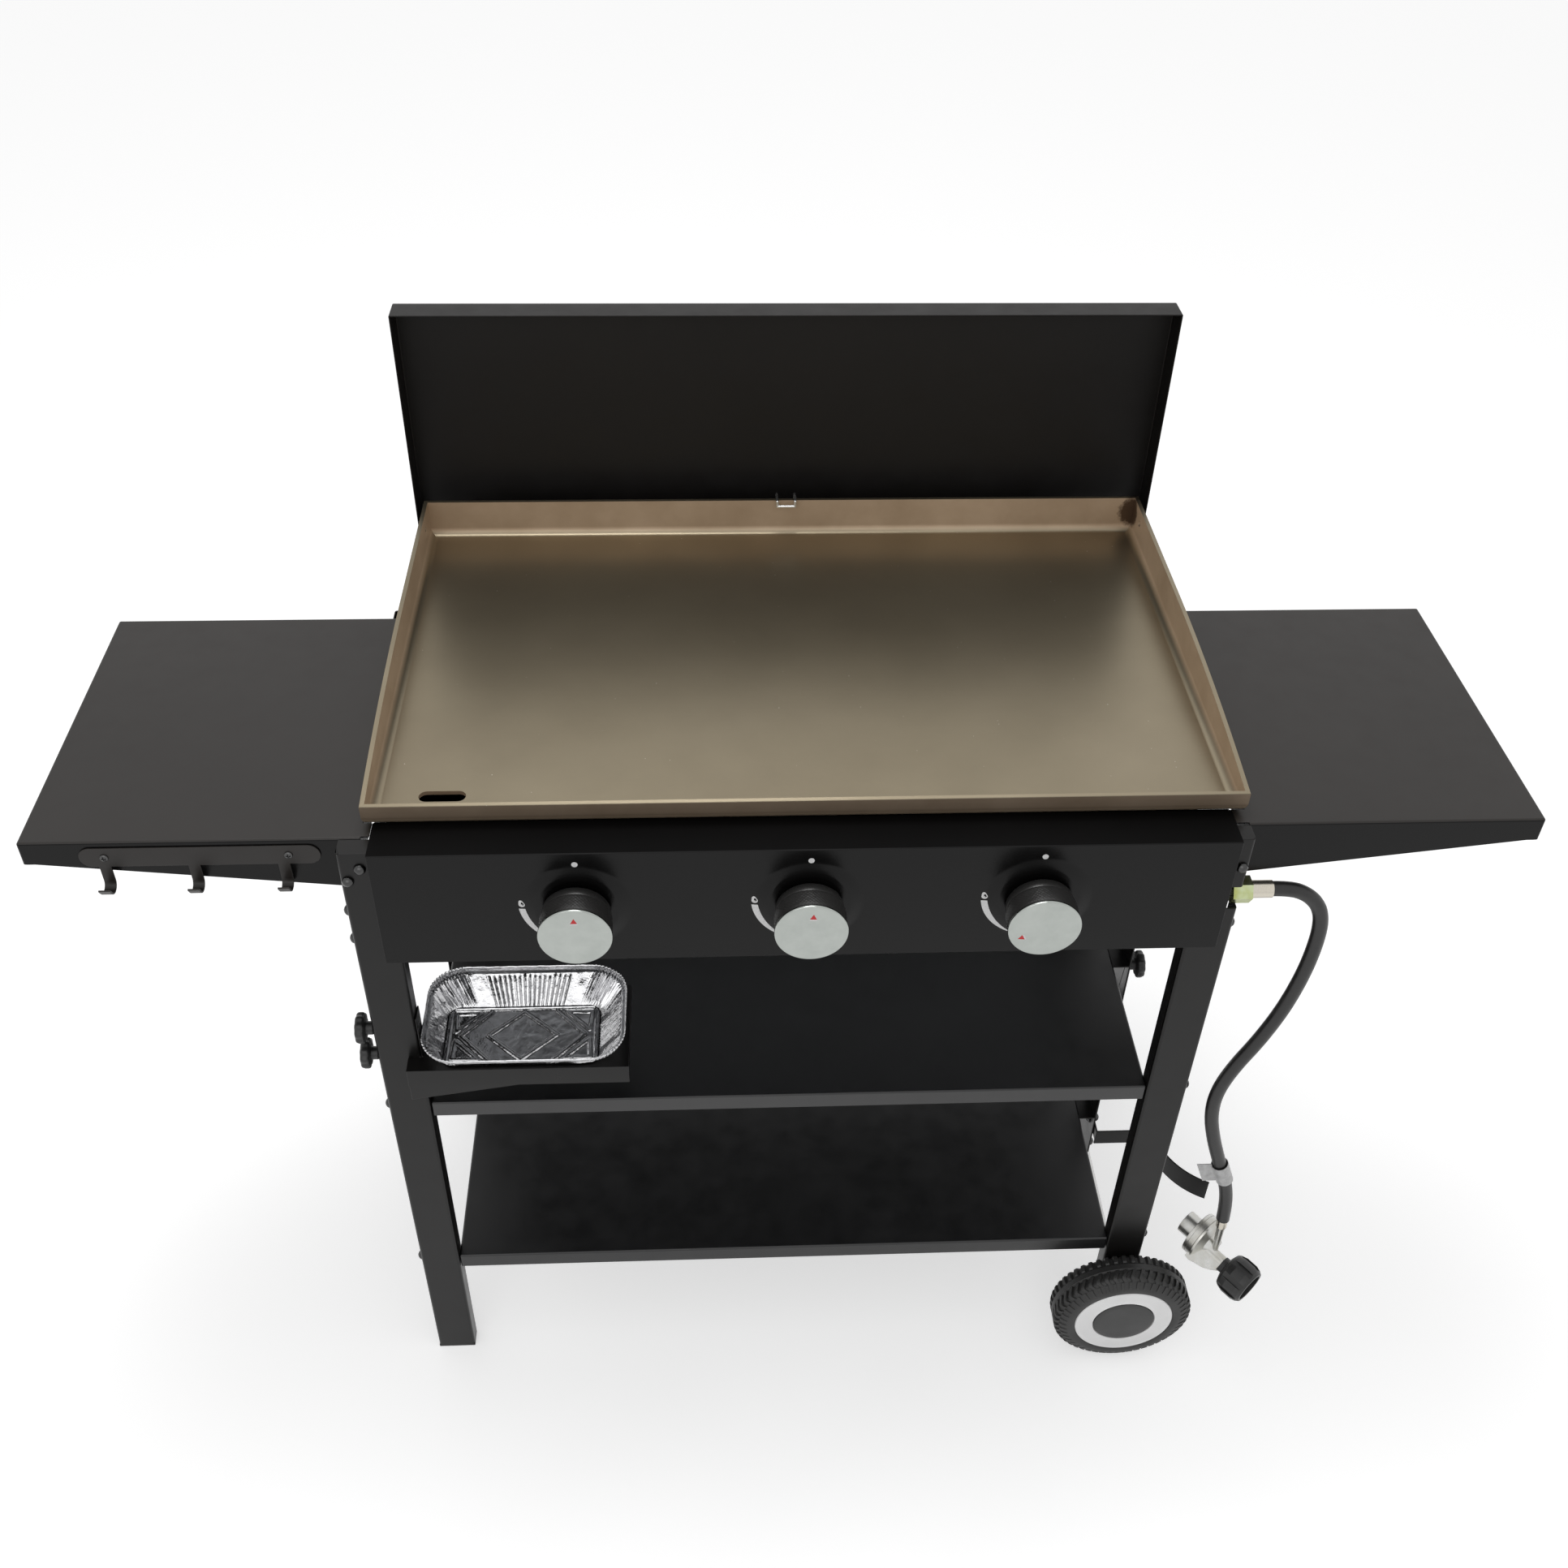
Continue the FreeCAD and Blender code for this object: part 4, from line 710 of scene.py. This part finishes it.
def make_tray_floor():
    """A fine grid over the floor, drawn in at its rounded corners."""
    rows = []
    for j in range(DEEP + 1):
        row = []
        for i in range(ACROSS + 1):
            x = FLOOR_HALF_X * (2 * i / ACROSS - 1)
            y = FLOOR_HALF_Y * (2 * j / DEEP - 1)
            u = abs(x) - (FLOOR_HALF_X - FLOOR_R)
            v = abs(y) - (FLOOR_HALF_Y - FLOOR_R)
            if u > 0 and v > 0 and math.hypot(u, v) > FLOOR_R:
                pull = FLOOR_R / math.hypot(u, v)
                x = math.copysign(FLOOR_HALF_X - FLOOR_R + u * pull, x)
                y = math.copysign(FLOOR_HALF_Y - FLOOR_R + v * pull, y)
            dent = 0.25 * noise.noise(Vector((x * 0.11, y * 0.11, 8.0)))
            row.append((FLOOR_X + x, FLOOR_Y + y, TRAY_FLOOR + 0.4 + floor_height(x, y) + dent))
        rows.append(row)
    return loft(rows, False, False)


def pleat(i):
    """The uneven folds that run up the corners and over the rim."""
    return math.sin(i * 1.45 + 2.2 * noise.noise(Vector((0.13 * i, 3.1, 0))))


def wall_swell(i, t, x, y, side, share, corner):
    """How far the wall bulges outwards: ribs on the long sides, pleats round the corners."""
    fade = min(1.0, 9 * t) * max(0.0, min(1.0, 12 * (0.96 - t)))
    foot = min(1.0, 4 * t)
    if corner:
        crush = noise.noise(Vector((i * 0.21, t * 3.0, 1.7)))
        return (1.5 * pleat(i) * (0.5 + 0.5 * t) + 0.9 * crush) * corner * foot
    if side % 2 == 1 and abs(share) < RIB_SHARE:
        return -1.7 * max(0.0, math.cos(math.pi * RIBS * share / RIB_SHARE)) ** 1.5 * fade
    if side % 2 == 0 and abs(share) < WAVE_SHARE:
        crush = noise.noise(Vector((x * 0.12, y * 0.22, t * 3)))
        return 0.8 * math.cos(math.pi * WAVES * share / WAVE_SHARE) * fade + 1.1 * crush * foot
    return 0.7 * noise.noise(Vector((x * 0.12, y * 0.12, t * 2))) * foot


def make_foil_tray():
    base = rounded_outline(FLOOR_HALF_X, FLOOR_HALF_Y, FLOOR_R)
    top = rounded_outline(MOUTH_HALF_X, MOUTH_HALF_Y, MOUTH_R)
    rings = []
    for k in range(UP_WALL + 1):
        t = k / UP_WALL
        row = []
        for i in range(AROUND):
            x0, y0 = base[i][0] + FLOOR_X, base[i][1] + FLOOR_Y
            x1, y1, (nx, ny), side, share, corner = top[i]
            swell = wall_swell(i, t, x1, y1, side, share, corner)
            row.append((x0 + (x1 + TRAY_X - x0) * t + nx * swell, y0 + (y1 + TRAY_Y - y0) * t + ny * swell,
                        TRAY_FLOOR + (TRAY_RIM - LEDGE_DROP - TRAY_FLOOR) * t))
        rings.append(row)
    for out, up in RIM:
        row = []
        for i in range(AROUND):
            x1, y1, (nx, ny), side, share, corner = top[i]
            wobble = 0.35 * noise.noise(Vector((x1 * 0.09, y1 * 0.09, 5.0)))
            crimp = 0.7 * corner * pleat(i)
            reach = min(out + wobble + crimp, 5.0)
            row.append((TRAY_X + x1 + nx * reach, TRAY_Y + y1 + ny * reach,
                        TRAY_RIM + up + min(0.0, 0.6 * wobble + crimp)))
        rings.append(row)
    return joined(loft(rings, True, False), make_tray_floor())


FOIL = foil()
tray = piece("foil_pan", *make_foil_tray(), "tray", "foil", FOIL, 45, ["foil_tray"])
gauge = tray.modifiers.new("Foil gauge", "SOLIDIFY")
gauge.thickness = 0.0002
gauge.offset = 0.0

# Wheels
# Moulded rubber tyres with lugs on both shoulders round a smooth middle band, each on a
# pale grey plastic wheel with a dark cap, turning on one steel axle.
WHEEL_X, WHEEL_R = 365.5, 76.5
WHEELS = (("front", -75.5, (0, 1, 0)), ("rear", 377.2, (0, -1, 0)))    # outer face, and inwards from it
LUGS = 50
CARCASS = [(2.0, 54.2), (1.1, 54.8), (0.8, 57.0), (0.8, 61.2), (1.5, 63.6), (3.4, 67.4), (7.6, 73.0),
           (10.0, 73.8), (17.6, 73.9), (18.3, 75.6), (19.1, 76.2), (24.9, 76.2), (25.7, 75.6), (26.4, 73.8),
           (34.0, 73.4), (37.0, 71.0), (38.1, 66.0), (38.3, 60.8), (38.3, 55.6), (37.0, 54.2)]
DISC = [(4.0, 34.2), (1.6, 34.3), (1.1, 34.6), (1.0, 35.4), (1.5, 36.0), (1.5, 51.6), (1.0, 52.2),
        (1.0, 53.2), (1.8, 54.0), (36.5, 54.0), (36.5, 50.0), (5.0, 50.0), (5.0, 13.0), (36.5, 13.0),
        (36.5, 6.1), (6.0, 6.1), (6.0, 8.0), (4.0, 8.0)]     # a flat ring with thin raised edges
HUB_CAP = [(3.9, 33.6), (1.8, 33.6), (0.9, 33.2), (0.5, 31.6), (0.25, 27.0), (0.12, 18.0), (0.05, 8.0),
           (0.03, 1.0)]


def make_tyre(face_y, axis):
    a, side, up = upright_pair(axis)
    start = Vector((WHEEL_X, face_y, WHEEL_R))
    shapes = [turned(CARCASS, tuple(start), axis, 144, ring=True)]

    def spot(d, angle, r):
        return tuple(start + a * d + (side * math.cos(angle) + up * math.sin(angle)) * r)

    def lug(path, width, narrow):
        """A moulded bar along path of (distance, base radius, top radius, turn in degrees)."""
        rings = []
        for d, low, high, angle in path:
            w = math.radians(width) / 2
            mid = math.radians(angle)
            rings.append([spot(d, mid - w, low), spot(d, mid - w * narrow, high),
                          spot(d, mid + w * narrow, high), spot(d, mid + w, low)])
        return loft(rings)

    for k in range(LUGS):
        turn = 360 * k / LUGS
        back = [(26.6, 73.0, 75.0, turn), (28.2, 73.0, 76.3, turn), (33.0, 72.8, 76.4, turn),
                (36.2, 71.0, 75.2, turn), (37.9, 66.0, 70.8, turn)]
        front = [(17.9, 73.2, 76.2, turn + 0.4), (13.6, 73.2, 76.4, turn + 1.6),
                 (9.6, 72.8, 76.3, turn + 3.4), (7.6, 71.8, 75.2, turn + 3.8), (5.4, 68.8, 72.2, turn + 2.2)]
        small = [(4.9, 68.0, 71.2, turn + 5.4), (2.9, 64.6, 68.0, turn + 5.6), (1.2, 61.8, 64.2, turn + 5.6)]
        shapes += [lug(back, 5.6, 0.5), lug(front, 3.7, 0.8), lug(small, 3.4, 0.75)]
    return joined(*shapes)


RUBBER = moulded("tyre_rubber", (0.016, 0.0158, 0.0155), 0.52, 0.5, 700)
WHEEL_GREY = moulded("wheel_grey", (0.84, 0.84, 0.84), 0.38, 0.15)
CAP_GREY = moulded("cap_grey", (0.026, 0.026, 0.026), 0.45, 0.15)
for label, face_y, axis in WHEELS:
    body = label + "_wheel"
    start = (WHEEL_X, face_y, WHEEL_R)
    piece("tyre_" + label, *make_tyre(face_y, axis), body, "tyre_rubber", RUBBER, 35,
          ["wheel_%s_tyre" % label])
    piece("wheel_disc_" + label, *turned(DISC, start, axis, 96, ring=True), body, "wheel_grey",
          WHEEL_GREY, 35, ["wheel_%s_rim" % label])
    piece("wheel_cap_" + label, *turned(HUB_CAP, start, axis, 96), body, "cap_grey", CAP_GREY, 40,
          ["wheel_%s_cap" % label])
dress(STEEL, "axle", "axle_nuts")

# Gas supply
# A hex union passes through the leg, and a crimped rubber hose hangs from it to a die cast
# regulator with a lobed coupling nut. A film tag is wrapped round the hose.
HOSE_ROUTE = ((0.42465, -0.25875, 0.690), (0.44215, -0.25875, 0.690), (0.45865, -0.25925, 0.683),
              (0.47115, -0.26025, 0.6705), (0.47765, -0.26175, 0.654), (0.47915, -0.26375, 0.629),
              (0.47615, -0.26575, 0.589), (0.46715, -0.26675, 0.540), (0.45215, -0.26775, 0.495),
              (0.43515, -0.26875, 0.458), (0.42465, -0.26975, 0.422), (0.42515, -0.27075, 0.387),
              (0.43415, -0.27275, 0.351), (0.44615, -0.27375, 0.316), (0.46115, -0.27475, 0.277),
              (0.46815, -0.27575, 0.243), (0.46895, -0.27775, 0.218))


def hose_rubber():
    made, tree, shader, where = surface("hose_rubber")
    skin = clouds(tree, where, 500, 3, 0.6)
    scuff = clouds(tree, where, 90, 4, 0.65)
    tone = grade(tree, scuff, [(0.35, (0.011, 0.0105, 0.0105)), (0.75, (0.022, 0.0215, 0.021))])
    feed(tree, shader, Base_Color=tone, Roughness=grade(tree, scuff, [(0.35, 0.30), (0.7, 0.46)]),
         Normal=raised(tree, skin, 0.25, 0.0004))
    return made


def tag_film():
    made, tree, shader, where = surface("tag_film")
    crease = clouds(tree, where, 160, 3, 0.6)
    feed(tree, shader, Base_Color=grade(tree, crease, [(0.3, 0.42), (0.7, 0.60)]), Roughness=0.32,
         Normal=raised(tree, crease, 0.4, 0.001))
    return made


def make_hose():
    line = bpy.data.curves.new("gas_hose", "CURVE")
    line.dimensions = "3D"
    line.bevel_depth = 0.007
    line.bevel_resolution = 8
    line.resolution_u = 8
    run = line.splines.new("NURBS")
    run.points.add(len(HOSE_ROUTE) - 1)
    for point, spot in zip(run.points, HOSE_ROUTE):
        point.co = (*spot, 1)
    run.order_u = 3
    run.use_endpoint_u = True
    line.materials.append(hose_rubber())
    made = bpy.data.objects.new("gas_hose", line)
    bpy.context.scene.collection.objects.link(made)
    return made


ZINC = bright_metal("yellow_zinc", (0.42, 0.46, 0.17), 0.30, tint=(0.56, 0.62, 0.40))
NICKEL = bright_metal("nickel_plate", (0.62, 0.58, 0.50), 0.20, (8, 1, 1))
DIE_CAST = bright_metal("die_cast_zinc", (0.60, 0.60, 0.58), 0.30, bump=0.15, tint=(0.48, 0.47, 0.43))
TAG = tag_film()
dress(ZINC, "inlet_nut")
dress(NICKEL, "hose_ferrules")
dress(DIE_CAST, "regulator")
dress(CAP_PLASTIC, "coupling_nut")
dress(TAG, "hose_tag")
hose = make_hose()
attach(hose, "cart")
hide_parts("hose")

# Room, lamps and camera
# A plain pale floor and two soft lamps, seen from the height of a standing eye in front of
# the station, as in the photograph.
ROOM_LIGHT = 0.55                         # strength of the room's light; it is seen as plain white
FLOOR_GLOW = 0.50                         # what the lit floor lacks to be seen as white
EYE = (-0.0792776, -1.284376, 1.6880138)
YAW, PITCH, ROLL = 0.0602, -0.7011, 0.0242      # radians


def straight_rays(tree):
    """1 for rays from the eye, also by way of a mirror or glass, and 0 for all others."""
    path = node(tree, "LightPath").outputs
    first = node(tree, "Math", {0: path["Is Camera Ray"], 1: path["Is Glossy Ray"]}, operation="ADD")
    return node(tree, "Math", {0: first.outputs[0], 1: path["Is Transmission Ray"]}, operation="ADD",
                use_clamp=True).outputs[0]


def pale_floor():
    made, tree, shader, _ = surface("pale_floor")
    glow = node(tree, "Math", {0: straight_rays(tree), 1: FLOOR_GLOW}, operation="MULTIPLY").outputs[0]
    feed(tree, shader, Base_Color=(0.80, 0.80, 0.80, 1), Roughness=0.9, Specular_IOR_Level=0.0,
         Emission_Color=(1, 1, 1, 1), Emission_Strength=glow)
    return made


def lamp(name, spot, aim, size, power):
    light = bpy.data.lights.new(name, "AREA")
    light.shape = "RECTANGLE"
    light.size, light.size_y = size
    light.energy = power
    made = bpy.data.objects.new(name, light)
    made.location = spot
    made.rotation_mode = "QUATERNION"
    made.rotation_quaternion = (Vector(aim) - Vector(spot)).to_track_quat("-Z", "Y")
    bpy.context.scene.collection.objects.link(made)


bpy.ops.mesh.primitive_plane_add(size=40, location=(0, 0, 0))
floor = bpy.context.object
floor.name = "floor"
floor.data.materials.append(pale_floor())

world = bpy.data.worlds.new("pale_room")
bpy.context.scene.world = world
world.use_nodes = True
air = world.node_tree
strength = node(air, "MapRange", {"Value": straight_rays(air), "To Min": ROOM_LIGHT, "To Max": 1.0})
air.links.new(strength.outputs["Result"], air.nodes["Background"].inputs["Strength"])
air.nodes["Background"].inputs["Color"].default_value = (1, 1, 1, 1)
lamp("ceiling_panel", (-0.2, 0.35, 2.9), (0, 0.1, 0.6), (1.2, 0.8), 22)
lamp("front_panel", (-0.6, -2.6, 2.3), (0, 0, 0.7), (2.4, 1.6), 12)

camera = bpy.data.objects.new("camera", bpy.data.cameras.new("camera"))
bpy.context.scene.collection.objects.link(camera)
bpy.context.scene.camera = camera
camera.data.sensor_width = 36
camera.data.lens = 37.305
camera.data.shift_x = 0.0032
camera.data.clip_start = 0.05
ahead = Vector((math.sin(YAW) * math.cos(PITCH), math.cos(YAW) * math.cos(PITCH), math.sin(PITCH)))
right = Vector((math.cos(YAW), -math.sin(YAW), 0))
above = right.cross(ahead)
across = right * math.cos(ROLL) + above * math.sin(ROLL)
upward = above * math.cos(ROLL) - right * math.sin(ROLL)
camera.matrix_world = Matrix((
    (across.x, upward.x, -ahead.x, EYE[0]),
    (across.y, upward.y, -ahead.y, EYE[1]),
    (across.z, upward.z, -ahead.z, EYE[2]),
    (0, 0, 0, 1)))
bpy.context.scene.view_settings.view_transform = "Standard"
